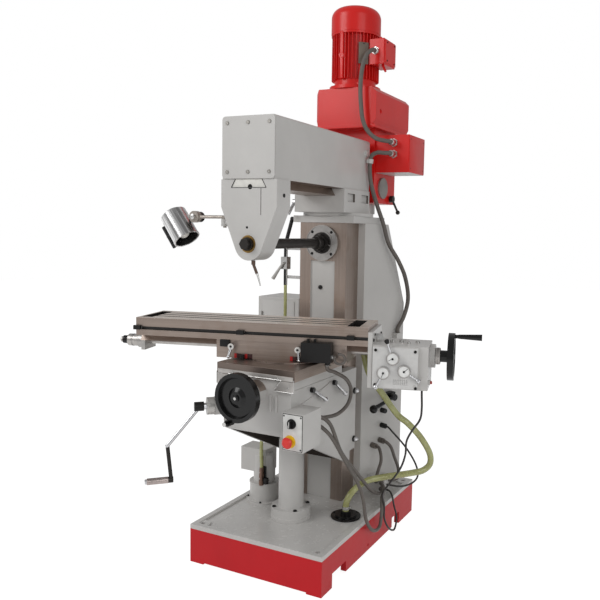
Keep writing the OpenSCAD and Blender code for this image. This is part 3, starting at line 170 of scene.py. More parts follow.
class Shell:
    """Gathers closed surfaces, in millimetres of the row frame, and makes one piece of them."""

    def __init__(self):
        self.points, self.quads, self.rest, self.count = [], [], [], 0

    def take(self, points, quads=None, rest=(), finish=0):
        """Adds points, and faces that count from the first of them."""
        p = np.asarray(points, float).reshape(-1, 3)
        self.points.append(p)
        if quads is not None:
            self.quads.append((np.asarray(quads, int) + self.count, finish))
        self.rest += [([int(i) + self.count for i in face], finish) for face in rest]
        self.count += len(p)
        return self

    def rings(self, grid, finish=0, loop=False, start=True, end=True):
        """Joins rings of points into a closed tube: four sided faces between neighbours, and a
        flat face at each end unless the rings close on themselves."""
        g = np.asarray(grid, float)
        n, k = g.shape[:2]
        a = np.arange(n * k).reshape(n, k)
        if not loop:
            a = a[:-1]
        b = np.roll(a, -1, 1)
        up = (a + k) % (n * k)
        quads = np.stack([a, b, np.roll(up, -1, 1), up], -1).reshape(-1, 4)
        rest = []
        if not loop:
            rest += [list(range(k))[::-1]] if start else []
            rest += [list(range((n - 1) * k, n * k))] if end else []
        return self.take(g, quads, rest, finish)

    def turned(self, profile, at, axis, n=40, finish=0, loop=False, soft=0.0):
        """A profile of (height, radius) turned about an axis: radius times cos and sin of the
        angle along two vectors square to it. A radius of 0 at an end closes in a pole."""
        p = np.asarray(profile, float)
        if soft:
            p = rounded(p, soft)
        u, v, w = frame_of(axis)
        t = np.arange(n) * 2 * math.pi / n
        around = np.cos(t)[:, None] * u + np.sin(t)[:, None] * v
        grid = np.asarray(at, float) + p[:, :1, None] * w + p[:, 1:, None] * around[None]
        if loop:
            return self.rings(grid, finish, loop=True)
        low, high = p[0, 1] < 1e-6, p[-1, 1] < 1e-6
        body = grid[1 if low else 0: len(grid) - 1 if high else len(grid)]
        first = self.count
        self.rings(body, finish, start=not low, end=not high)
        ring = np.arange(n)
        if low:
            tip = self.count
            self.take(grid[0, 0], finish=finish)
            self.rest += [([tip, first + (j + 1) % n, first + j], finish) for j in ring]
        if high:
            tip, last = self.count, first + (len(body) - 1) * n
            self.take(grid[-1, 0], finish=finish)
            self.rest += [([tip, last + j, last + (j + 1) % n], finish) for j in ring]
        return self

    def disc(self, r, h, at, axis, n=24, finish=0):
        """A plain disc of radius r and height h."""
        return self.turned([(0, 0), (0, r), (h, r), (h, 0)], at, axis, n, finish)

    def cap(self, r, shoulder, h, top, at, axis, n=24, finish=0):
        """A disc of radius r up to its shoulder, which then draws in to the radius top at h."""
        return self.turned([(0, 0), (0, r), (shoulder, r), (h, top), (h, 0)], at, axis, n, finish)

    def band(self, low, high, inner, outer, at, axis, n=32, finish=0):
        """A flat ring between two heights and two radii."""
        return self.turned([(low, inner), (low, outer), (high, outer), (high, inner)], at, axis,
                           n, finish, True)

    def slab(self, outline, at, x, y, depth, edge=1.0, finish=0):
        """An outline in the plane of x and y, raised by depth along their cross product, with its
        rims drawn in by edge."""
        x, y = unit(x), unit(y)
        z = np.cross(x, y)
        levels = [(0, edge), (0.3 * edge, 0.3 * edge), (edge, 0), (depth - edge, 0),
                  (depth - 0.3 * edge, 0.3 * edge), (depth, edge)]
        grid = [np.asarray(at, float) + o[:, :1] * x + o[:, 1:] * y + h * z
                for h, o in ((h, inset(outline, d)) for h, d in levels)]
        return self.rings(np.array(grid), finish)

    def bar(self, path, radius, finish=0, n=12):
        """A round bar along a path."""
        return self.rings(tube(path, radius, n), finish)

    def screw(self, at, axis, r, h):
        """A screw head with a socket: a disc with a rounded rim and a hole in its middle."""
        return self.turned([(0, 0), (0, r), (h - 1, r), (h, r - 1), (h, 0.5 * r),
                            (0.4 * h, 0.45 * r), (0.4 * h, 0)], at, axis, 16)

    def made(self, name, body, finishes, slot=None, sharp=32.0):
        """One piece of all that was gathered, which rides on a body. Its slot is not used."""
        mesh = bpy.data.meshes.new(name)
        quads = [q for group, _ in self.quads for q in group.tolist()]
        kinds = [k for group, k in self.quads for _ in range(len(group))]
        quads += [face for face, _ in self.rest]
        kinds += [k for _, k in self.rest]
        mesh.from_pydata((np.vstack(self.points) * MM).tolist(), [], quads)
        for f in finishes:
            mesh.materials.append(f)
        mesh.polygons.foreach_set("material_index", np.array(kinds, np.int32))
        mesh.polygons.foreach_set("use_smooth", np.ones(len(quads), bool))
        mesh.set_sharp_from_angle(angle=math.radians(sharp))
        mesh.update()
        obj = add_object(name, mesh)
        if body:
            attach(obj, body)
        return obj


# ---------------------------------------------------------------- shader maths
class Value:
    """A socket of a material whose sums, products and quotients add their own nodes."""

    def __init__(self, finish, socket):
        self.finish, self.socket = finish, socket

    def maths(self, operation, *values, **settings):
        return self.finish.node("ShaderNodeMath", settings | {"operation": operation},
                                dict(enumerate(values)))

    def __add__(self, o): return self.maths("ADD", self, o)
    def __radd__(self, o): return self.maths("ADD", self, o)
    def __sub__(self, o): return self.maths("SUBTRACT", self, o)
    def __rsub__(self, o): return self.maths("SUBTRACT", o, self)
    def __mul__(self, o): return self.maths("MULTIPLY", self, o)
    def __rmul__(self, o): return self.maths("MULTIPLY", self, o)
    def __truediv__(self, o): return self.maths("DIVIDE", self, o)
    def __lt__(self, o): return self.maths("LESS_THAN", self, o)
    def abs(self): return self.maths("ABSOLUTE", self)
    def fraction(self): return self.maths("FRACT", self)
    def sine(self): return self.maths("SINE", self)
    def larger(self, o): return self.maths("MAXIMUM", self, o)
    def held(self): return self.maths("ADD", self, 0.0, use_clamp=True)

    def between(self, low, high):
        """Rises from 0 at low to 1 at high, and stays there."""
        return ((self - low) / (high - low)).held()


class Finish:
    """The nodes round one shader of a new material, or of the world, and short ways to them."""

    def __init__(self, name, kind="BSDF_PRINCIPLED", blocks="materials"):
        self.material = getattr(bpy.data, blocks).new(name)
        self.material.use_nodes = True
        self.tree = self.material.node_tree
        self.shader = next(n for n in self.tree.nodes if n.type == kind)

    def feed(self, socket, value):
        if isinstance(value, Value):
            self.tree.links.new(value.socket, socket)
        elif isinstance(value, (tuple, list)) and socket.type == "RGBA" and len(value) == 3:
            socket.default_value = (*value, 1.0)
        else:
            socket.default_value = value

    def node(self, kind, settings=None, inputs=None, output=0):
        """Any node: its settings come first, then its sockets by number or name."""
        n = self.tree.nodes.new(kind)
        for key, value in (settings or {}).items():
            setattr(n, key, value)
        for key, value in (inputs or {}).items():
            self.feed(n.inputs[key], value)
        return Value(self, n.outputs[output])

    def place(self, kind="Object"):
        return self.node("ShaderNodeTexCoord", output=kind)

    def xyz(self, vector):
        n = self.node("ShaderNodeSeparateXYZ", {}, {0: vector}).socket.node
        return [Value(self, s) for s in n.outputs]

    def stretched(self, scale, turn=(0, 0, 0)):
        """Object coordinates, turned first and then scaled along the turned axes."""
        turned = self.node("ShaderNodeMapping", {}, {"Vector": self.place(), "Rotation": turn})
        return self.node("ShaderNodeMapping", {}, {"Vector": turned, "Scale": scale})

    def noise(self, scale, detail=3.0, rough=0.5, vector=None):
        return self.node("ShaderNodeTexNoise", {}, {
            "Vector": vector or self.place(), "Scale": scale, "Detail": detail, "Roughness": rough})

    def blend(self, factor, a, b):
        return self.node("ShaderNodeMix", {"data_type": "RGBA"}, {0: factor, 6: a, 7: b}, 2)

    def bump(self, height, strength, distance):
        return self.node("ShaderNodeBump", {},
                         {"Height": height, "Strength": strength, "Distance": distance})

    def set(self, **values):
        for key, value in values.items():
            self.feed(self.shader.inputs[key.replace("_", " ")], value)
        return self.material


def linear(rgb):
    """A screen colour of 0 to 255 a channel as linear light: the power curve of sRGB."""
    c = np.asarray(rgb, float) / 255
    return tuple(float(x) for x in np.where(c <= 0.04045, c / 12.92, ((c + 0.055) / 1.055) ** 2.4))


def shade(colour, k):
    return tuple(min(1.0, c * k) for c in colour)


made = {}


def once(build):
    """Keeps each finish after its first making."""
    def get(*args):
        key = (build.__name__, *args)
        if key not in made:
            made[key] = build(*args)
        return made[key]
    return get


@once
def cast_paint(name, rgb, gloss=0.36, mirror=0.5):
    """Sprayed paint over a filled casting: cloudy tone, soft hollows, a fine orange peel, and a
    little brown dust where the clouds are thickest."""
    f = Finish(name)
    cloud = f.noise(5.0, 4.0, 0.6)
    fine = f.noise(420.0, 2.0)
    wide = f.noise(26.0, 3.0)
    base = linear(rgb)
    tone = f.blend(cloud.between(0.35, 0.7), shade(base, 0.95), shade(base, 1.04))
    dust = f.noise(60.0, 6.0, 0.75).between(0.60, 0.76) * cloud.between(0.5, 0.75) * 0.22
    colour = f.blend(dust, tone, shade((0.62, 0.5, 0.4), max(base) * 0.8))
    height = wide * 0.6 + fine * 0.12
    return f.set(Base_Color=colour, Roughness=gloss + f.noise(40.0, 3.0) * 0.12,
                 Specular_IOR_Level=mirror, Coat_Weight=0.5 * mirror, Coat_Roughness=0.12,
                 Normal=f.bump(height, 0.22, 0.0012))


@once
def ground_iron(name, rgb, turn=0.0, along="x"):
    """Ground cast iron: fine lines along the stroke, oily brown clouds and a dull mirror."""
    f = Finish(name)
    k = {"x": (3, 240, 240), "z": (240, 240, 3), "y": (240, 3, 240)}[along]
    lines = f.noise(1.0, 5.0, 0.7, f.stretched(k, (0, 0, -turn)))
    cloud = f.noise(9.0, 5.0, 0.6)
    base = linear(rgb)
    tone = f.blend(lines.between(0.3, 0.7), shade(base, 0.86), shade(base, 1.14))
    stain = cloud.between(0.5, 0.72) * 0.4
    colour = f.blend(stain, tone, shade((base[0], base[1] * 0.86, base[2] * 0.76), 0.72))
    return f.set(Base_Color=colour, Metallic=0.82, Roughness=0.30 + cloud * 0.16,
                 Normal=f.bump(lines, 0.18, 0.0004))


@once
def turned_steel(name, rgb, rough=0.26, metal=1.0):
    """Turned steel: bright, with a few darker smears."""
    f = Finish(name)
    smear = f.noise(22.0, 5.0, 0.65)
    base = linear(rgb)
    colour = f.blend(smear.between(0.45, 0.75), base, shade(base, 0.72))
    return f.set(Base_Color=colour, Metallic=metal, Roughness=rough + smear * 0.14)


@once
def spun_sheet(name, turn):
    """Spun sheet metal: painted reflections as light and dark stripes along the axis of the shade,
    and a soft mirror."""
    f = Finish(name)
    # painted reflection: bright and dark bands in the base colour along the shade's axis
    reflection_stripe = f.noise(1.0, 2.0, 0.5, f.stretched((70, 70, 1.2), turn))
    colour = f.blend(reflection_stripe.between(0.40, 0.60), linear((150, 149, 149)), linear((250, 250, 250)))
    return f.set(Base_Color=colour, Metallic=1.0, Roughness=0.24)


@once
def chrome_plate():
    """Chrome plate: nearly a mirror, with faint finger marks."""
    f = Finish("Chrome plate")
    marks = f.noise(70.0, 5.0, 0.7)
    return f.set(Base_Color=f.blend(marks.between(0.5, 0.8), linear((205, 205, 207)),
                                    linear((172, 170, 168))),
                 Metallic=1.0, Roughness=0.14 + marks.between(0.4, 0.8) * 0.1)


@once
def moulded(name, rgb, rough=0.3, grain=0.12, mirror=0.5):
    """Moulded or enamelled surface: even colour with a faint grain and slight dulling."""
    f = Finish(name)
    grainy = f.noise(700.0, 2.0)
    dull = f.noise(30.0, 4.0)
    base = linear(rgb)
    return f.set(Base_Color=f.blend(dull.between(0.4, 0.8), base, shade(base, 1.25)),
                 Roughness=rough + dull * 0.15, Specular_IOR_Level=mirror,
                 Normal=f.bump(grainy, grain, 0.0003))


@once
def sheath(name, rgb, pitch=0.0, rough=0.48):
    """Cord sheath on its own UV map: rings at a given pitch along it and a dusty tone."""
    f = Finish(name)
    uv = f.xyz(f.place("UV"))
    dusty = f.noise(45.0, 5.0, 0.65)
    base = linear(rgb)
    colour = f.blend(dusty.between(0.4, 0.75), base, shade(base, 1.3))
    if pitch:
        normal = f.bump((uv[1] * (2 * math.pi / pitch)).sine(), 0.35, 0.0006)
    else:
        normal = f.bump(f.noise(300.0, 3.0), 0.12, 0.0004)
    return f.set(Base_Color=colour, Roughness=rough + dusty * 0.12, Normal=normal)


@once
def clear_hose():
    """Yellowish translucent tube: tinted wall that lets part of the light through."""
    f = Finish("Clear hose")
    stain = f.noise(24.0, 5.0, 0.6)
    colour = f.blend(stain.between(0.35, 0.75), linear((196, 199, 138)), linear((165, 163, 98)))
    return f.set(Base_Color=colour, Roughness=0.2 + stain * 0.12, Transmission_Weight=0.25, IOR=1.45,
                 Coat_Weight=0.5, Coat_Roughness=0.08, Normal=f.bump(stain, 0.1, 0.0006))


@once
def printed_plate(name, rgb, turn, at):
    """Pale front plate with a small printed grid: thin dark lines where a sawtooth of each place
    value is near its edge, inside one rectangle."""
    f = Finish(name)
    spot = f.node("ShaderNodeVectorMath", {"operation": "SUBTRACT"}, {0: f.place(), 1: at})
    u, _, w = f.xyz(f.node("ShaderNodeMapping", {}, {"Vector": spot, "Rotation": (0, 0, -turn)}))
    wide, high = 0.0068, 0.0052
    inside = (u.abs() < 4 * wide) * (w.abs() < 2 * high)
    lines = ((u / wide).fraction() < 0.14) + ((w / high).fraction() < 0.16)
    ink = lines.held() * inside
    dull = f.noise(60.0, 4.0)
    base = linear(rgb)
    colour = f.blend(ink * 0.75, f.blend(dull.between(0.4, 0.8), base, shade(base, 0.9)),
                     linear((70, 66, 64)))
    return f.set(Base_Color=colour, Roughness=0.34 + dull * 0.1, Metallic=0.15)


# ---------------------------------------------------------------- settings
def colour_setting(name, description, default):
    """A colour setting, written as 0 to 255 a channel."""
    return bpy.props.FloatVectorProperty(name=name, description=f"Colour of {description}, 0 to 255",
                                         size=3, default=default, min=0, max=255)


class MillLooks(bpy.types.PropertyGroup):
    """Sizes and colours of the finish."""

    grey: colour_setting("Grey paint", "the painted castings", (198, 196, 193))
    head_red: colour_setting("Head red", "the head and motor", (216, 28, 24))
    base_red: colour_setting("Base red", "the base skirt", (198, 14, 26))
    iron: colour_setting("Ground iron", "the machined iron", (156, 142, 133))
    edge_scale: bpy.props.FloatProperty(
        name="Edge scale", description="Factor on the width of all rounded edges", default=1.0,
        min=0.1, max=3.0, subtype="FACTOR")
    conduit_pitch: bpy.props.FloatProperty(
        name="Conduit pitch", description="Distance of the rings of a conduit", default=0.005,
        min=0.002, max=0.02, unit="LENGTH")
    light: bpy.props.FloatProperty(
        name="Light", description="Strength of the sky", default=0.44, min=0.1, max=2.0)


def looks():
    return bpy.context.scene.mill_looks


def grey():
    return cast_paint("Grey paint", tuple(looks().grey))


def red():
    return cast_paint("Head red paint", tuple(looks().head_red), 0.27, 0.3)


def iron(along="x", turn=SWIVEL):
    return ground_iron(f"Ground iron {along}", tuple(looks().iron), turn, along)


def steel():
    return turned_steel("Turned steel", (178, 175, 172))


def bright():
    return turned_steel("Bright zinc", (205, 204, 202), 0.2)


def black():
    return moulded("Black enamel", (10, 10, 10), 0.14, 0.04, 0.38)


def dark():
    return moulded("Black plastic", (22, 21, 21), 0.36, 0.12, 0.3)


def oxide():
    return turned_steel("Black oxide", (52, 49, 47), 0.34, 0.7)


def conduit_look():
    return sheath("Grey conduit", (96, 90, 85), looks().conduit_pitch)


# ---------------------------------------------------------------- dressing of the solids
def dress(node, body, finish, edge, regions=()):
    """A copy of a solid with its loose triangles joined, flat neighbours merged and its edges
    rounded. Regions give other finishes to the faces whose middle and normal pass a test."""
    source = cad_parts[node]
    bm = bmesh.new()
    bm.from_mesh(source.data)
    bmesh.ops.remove_doubles(bm, verts=bm.verts, dist=2e-6)
    bmesh.ops.dissolve_limit(bm, angle_limit=math.radians(0.4), verts=bm.verts, edges=bm.edges)
    mesh = bpy.data.meshes.new(f"{node}_dressed")
    bm.to_mesh(mesh)
    bm.free()
    mesh.materials.clear()
    finishes = [finish] + [m for _, m in regions]
    for m in finishes:
        mesh.materials.append(m)
    kinds = np.zeros(len(mesh.polygons), np.int32)
    if regions:
        centre = np.zeros(len(mesh.polygons) * 3)
        normal = np.zeros(len(mesh.polygons) * 3)
        mesh.polygons.foreach_get("center", centre)
        mesh.polygons.foreach_get("normal", normal)
        for i, (test, _) in enumerate(regions):
            kinds[test(*centre.reshape(-1, 3).T / MM, normal.reshape(-1, 3).T)] = i + 1
    mesh.polygons.foreach_set("material_index", kinds)
    mesh.polygons.foreach_set("use_smooth", np.ones(len(kinds), bool))
    mesh.update()
    obj = add_object(mesh.name, mesh)
    bevel = obj.modifiers.new("Rounded edges", "BEVEL")
    bevel.width = edge * looks().edge_scale
    bevel.segments = 2
    bevel.limit_method = "ANGLE"
    bevel.angle_limit = math.radians(28)
    bevel.use_clamp_overlap = True
    even = obj.modifiers.new("Even shading", "WEIGHTED_NORMAL")
    even.weight = 90
    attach(obj, body)
    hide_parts(node)
    return obj


# ---------------------------------------------------------------- cords
def smooth_path(points, step=4.0):
    """A curve through points, at even steps: each stretch is a centripetal Catmull and Rom curve,
    whose knots are spaced by the square root of the points' distances."""
    p = np.asarray(points, float)
    p = np.vstack([2 * p[0] - p[1], p, 2 * p[-1] - p[-2]])
    a, b, c, d = p[:-3], p[1:-2], p[2:-1], p[3:]
    gap = lambda s, e: np.sqrt(np.linalg.norm(e - s, axis=1))[:, None, None]
    t0 = np.zeros((len(a), 1, 1))
    t1 = t0 + gap(a, b)
    t2 = t1 + gap(b, c)
    t3 = t2 + gap(c, d)
    t = t1 + (t2 - t1) * np.linspace(0, 1, 24, endpoint=False)[None, :, None]
    a, b, c, d = (q[:, None, :] for q in (a, b, c, d))
    ab = (t1 - t) / (t1 - t0) * a + (t - t0) / (t1 - t0) * b
    bc = (t2 - t) / (t2 - t1) * b + (t - t1) / (t2 - t1) * c
    cd = (t3 - t) / (t3 - t2) * c + (t - t2) / (t3 - t2) * d
    abc = (t2 - t) / (t2 - t0) * ab + (t - t0) / (t2 - t0) * bc
    bcd = (t3 - t) / (t3 - t1) * bc + (t - t1) / (t3 - t1) * cd
    curve = ((t2 - t) / (t2 - t1) * abc + (t - t1) / (t2 - t1) * bcd).reshape(-1, 3)
    curve = np.vstack([curve, p[-2]])
    run = run_along(curve)
    s = np.linspace(0, run[-1], max(8, int(run[-1] / step)))
    return np.stack([np.interp(s, run, curve[:, i]) for i in range(3)], 1)


def run_along(path):
    """Distance from the start to each point of a path."""
    return np.concatenate([[0], np.cumsum(np.linalg.norm(np.diff(path, axis=0), axis=1))])


def cord_piece(name, path, r, finish, slot, nodes, body=None, joint=None, sides=16):
    """A tube of radius r square to its path. It rides on one body, or, given a joint, rides on
    none and has its place baked into its mesh, and its UV map runs along it in metres."""
    p = np.asarray(path, float)
    obj = Shell().bar(p, r, n=sides).made(name, None, [finish], slot, 60)
    run = run_along(p) * MM
    n = len(p)
    i, j = np.divmod(np.arange((n - 1) * sides), sides)
    u = np.stack([j, j + 1, j + 1, j], 1) / sides
    v = np.stack([run[i], run[i], run[i + 1], run[i + 1]], 1)
    uv = np.zeros((len(obj.data.loops), 2))
    uv[: u.size] = np.stack([u, v], -1).reshape(-1, 2)
    layer = obj.data.uv_layers.new(name="UVMap")
    layer.data.foreach_set("uv", uv.ravel().astype(np.float32))
    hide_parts(*nodes)
    2 * r * MM
    if joint:
        d = unit(p[-1] - p[0]) * (r + 2)
        tuple((p[0] + d) * MM)
        tuple((p[-1] - d) * MM)
        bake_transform(obj)
    else:
        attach(obj, body)
    return obj


FLANK_FROM = (140, 170)
FLANK_SLOPE = 90 / 210
FLANK_ANGLE = math.atan(FLANK_SLOPE)
FLANK_NORMAL = np.array([math.cos(FLANK_ANGLE), -math.sin(FLANK_ANGLE), 0])


def out_of_flank(y, z, d):
    """A place at a distance out of the column's right flank."""
    x = FLANK_FROM[0] + (y - FLANK_FROM[1]) * FLANK_SLOPE
    return np.array([x, y, z]) + d * FLANK_NORMAL


def leave(p, d, straight=14.0):
    """The start of a route: a fitting and a point straight out of it."""
    return [list(p), list(np.asarray(p, float) + straight * np.asarray(d, float))]


def arrive(p, d, straight=14.0):
    """The end of a route, into a fitting."""
    return leave(p, d, straight)[::-1]


MOTOR_GLAND = [122, 264, 2040]
BOX_GLANDS = [[206, 266, 1656], [206, 266, 1608]]
FOOT = (240, 212)
PANEL_BACK = -335
ROUTES = {
    "motor_conduit": leave(MOTOR_GLAND, -Y, 8) + [
        [120, 244, 2038], [106, 218, 2016], [95, 200, 1960], [90, 195, 1880], [95, 195, 1800],
        [104, 197, 1740], [125, 205, 1695], [160, 216, 1665], [190, 232, 1657]
    ] + arrive(BOX_GLANDS[0], -Y),
    "head_conduit": leave(BOX_GLANDS[1], -Y) + [
        [190, 236, 1607], [160, 228, 1608], [136, 226, 1596], [128, 226, 1560], [129, 234, 1490],
        [142, 268, 1400], [168, 290, 1310], [190, 300, 1228], [225, 335, 1150], [248, 360, 1080],
        [258, 378, 980], [246, 360, 900]] + arrive(out_of_flank(345, 832, 15), Z, 20),
    "drain_hose": leave(on_table([269, 98, 862]), -Z) + [
        [245, -35, 800], [262, -20, 720], [300, 38, 625], [340, 110, 527], [375, 123, 499],
        [420, 170, 428], [448, 205, 350], [446, 204, 312], [425, 185, 290], [390, 150, 284],
        [345, 95, 284], [300, 48, 282], [255, 5, 274], [222, -35, 250], [202, -60, 215]
    ] + arrive([*DRAIN_AT, 164], Z, 20),
    "gearbox_cable": leave(on_table([527, -95, 712]), -Z) + [
        [535, -148, 646], [520, -122, 596], [480, -98, 540], [445, -60, 485], [420, -7, 411],
        [385, 28, 337], [345, 22, 274], [318, 18, 229], [312, 50, 165], [312, 54, 110], [320, 82, 60],
        [322, 140, 32], [318, 170, 70], [306, 165, 125], [290, 180, 158]
    ] + arrive([FOOT[0], 221, 160], X),
    "side_cable": leave(out_of_flank(280, 425, 30), FLANK_NORMAL) + [
        [250, 266, 404], [300, 287, 344], [340, 299, 282], [360, 290, 249], [355, 306, 208],
        [330, 310, 176], [295, 270, 168]] + arrive([FOOT[0], 236, 178], X),
    "flank_conduit_back": leave(out_of_flank(272, 359, 30), FLANK_NORMAL) + [
        [240, 266, 340], [250, 294, 282], [262, 312, 225], [268, 290, 196]
    ] + arrive([FOOT[0], 257, 192], X),
    "flank_conduit_front": leave(out_of_flank(231, 345, 30), FLANK_NORMAL) + [
        [222, 200, 330], [232, 187, 298], [228, 165, 255], [216, 170, 214]
    ] + arrive([206, FOOT[1], 196], -Y),
    "panel_conduit_upper": leave([216, PANEL_BACK, 612], Y, 10) + [
        [240, -305, 590], [255, -235, 465], [262, -110, 345], [264, 40, 218], [262, 130, 180],
        [244, 178, 170]] + arrive([226, FOOT[1], 168], -Y),
    "panel_conduit_lower": leave([208, PANEL_BACK, 580], Y, 10) + [
        [236, -296, 545], [272, -240, 440], [296, -170, 330], [304, -135, 255], [308, -115, 170],
        [312, -60, 105], [312, 5, 92], [308, 34, 140], [296, 60, 190], [282, 110, 198],
        [252, 170, 196]] + arrive([228, FOOT[1], 194], -Y),
    "switch_conduit": leave(on_table([186, -138, 792]), -Z) + [
        [232, -246, 760], [250, -190, 725], [254, -160, 680], [248, -168, 632], [234, -220, 602],
        [210, -290, 600]] + arrive([198, PANEL_BACK, 604], Y),
    "pump_hose": leave([*PUMP_AT, 296], Z) + [
        [-172, -122, 350], [-175, -112, 430], [-177, -60, 540], [-178, 10, 650], [-178, 44, 760],
        [-178, 56, 890]] + arrive([-178, 56, 1040], -Z, 30),
}


def whole_cord(name, r, finish, slot, nodes, **ride):
    """One cord along all of its route."""
    cord_piece(f"{name}_tube", smooth_path(ROUTES[name]), r, finish, slot, nodes, **ride)


def cord_over_joints(name, r, finish, slot, nodes, joints, cuts, sides=16):
    """Parts a route at shares of its length, one part for each joint, which is passed to it."""
    path = smooth_path(ROUTES[name])
    at = [0, *(int(round(c * (len(path) - 1))) for c in cuts), len(path) - 1]
    for i, joint in enumerate(joints):
        cord_piece(f"{name}_part_{i + 1}", path[at[i]: at[i + 1] + 1], r, finish, slot, nodes,
                   joint=joint, sides=sides)


class MILL_OT_cords(bpy.types.Operator):
    """Lays the conduits, cables and hoses along their routes"""
    bl_idname = "mill.cords"
    bl_label = "Cords"

    def execute(self, context):
        build_cords()
        return {"FINISHED"}


def build_cords():
    conduit = conduit_look()
    cable = sheath("Black cable", (42, 39, 38), 0.0, 0.4)
    hose = clear_hose()
    whole_cord("motor_conduit", 9, conduit, "dark_conduit", ["motor_conduit"], body="head")
    cord_over_joints("head_conduit", 9, conduit, "dark_conduit", ["head_conduit"],
                     [("head", "ram"), ("ram", "frame")], [0.2])
    down = [("table", "carriage"), ("carriage", "saddle"), ("saddle", "knee"), ("knee", "frame")]
    cord_over_joints("drain_hose", 13, hose, "clear_hose", ["drain_hose"], down, [0.36, 0.6, 0.76])
    cord_over_joints("gearbox_cable", 4, cable, "dark_conduit", ["gearbox_cable"], down,
                     [0.36, 0.6, 0.74], 12)
    cord_over_joints("switch_conduit", 7, conduit, "dark_conduit", ["switch_conduit"],
                     [("carriage", "saddle"), ("saddle", "knee")], [0.62])
    foot = ["foot_conduits"]
    whole_cord("side_cable", 4, cable, "dark_conduit", foot, body="frame", sides=12)
    for name in ("flank_conduit_back", "flank_conduit_front"):
        whole_cord(name, 7, conduit, "dark_conduit", foot, body="frame")
    for name in ("panel_conduit_upper", "panel_conduit_lower"):
        whole_cord(name, 7, conduit, "dark_conduit", foot, joint=("knee", "frame"))
    whole_cord("pump_hose", 7, hose, "clear_hose", ["pump_hose"], body="frame")


# ---------------------------------------------------------------- groups of pieces
class MILL_OT_base(bpy.types.Operator):
    """Base skirt, coolant tray, pedestal, pump and drain"""
    bl_idname = "mill.base"
    bl_label = "Base and tray"

    def execute(self, context):
        build_base()
        return {"FINISHED"}


def at_outlet(x, y, z, n):
    """The pump's outlet: near its axis and above its flange."""
    return (np.hypot(x - PUMP_AT[0], y - PUMP_AT[1]) < 12.5) & (z > 224.5)


def build_base():
    skirt = cast_paint("Base red paint", tuple(looks().base_red), 0.42, 0.25)
    dress("base_skirt", "frame", skirt, 0.002)
    dress("coolant_tray", "frame", cast_paint("Tray paint", tuple(looks().grey), 0.2), 0.003)
    dress("screw_pedestal", "frame", grey(), 0.004)
    dress("coolant_pump", "frame", grey(), 0.002, [
        (lambda *place: at_outlet(*place) & (place[2] > 252), dark()),
        (at_outlet, turned_steel("Brass fitting", (128, 104, 92), 0.34))])
    dress("drain_flange", "frame", black(), 0.001)
    s = Shell()
    for first, count, centre, radius, r, h in ((45, 4, [0, -164, 183], 68, 8, 7),
                                               (20, 4, [-190, -70, 148], 69, 4.5, 5),
                                               (60, 3, [*DRAIN_AT, 146], 52, 4, 3)):
        for k in range(count):
            s.screw(centre + radius * spoke(first + 360 * k / count), Z, r, h)
    # a dark plate behind the pump's outlet pipe: painted shade in the gap there
    s.slab(round_rect(30, 72, 2), [-168, -110.4, 263], X, Z, 3, 0.6)
    s.slab(round_rect(16, 26, 3), [-149, -112, 240], X, Z, 16, 2)
    s.made("base_screws_and_pump_shade", "frame", [dark()])
    clamp = Shell()
    clamp.band(-6, 6, 13.2, 15.2, [*DRAIN_AT, 176], Z, 40)
    clamp.slab(round_rect(14, 9, 2), [DRAIN_AT[0] + 16, DRAIN_AT[1], 176], X, Y, 7, 1)
    clamp.made("drain_hose_clamp", "frame", [bright()])


class MILL_OT_column(bpy.types.Operator):
    """Column with its machined ways, turret, spindle nose and side fittings"""
    bl_idname = "mill.column"
    bl_label = "Column"

    def execute(self, context):
        build_column()
        return {"FINISHED"}


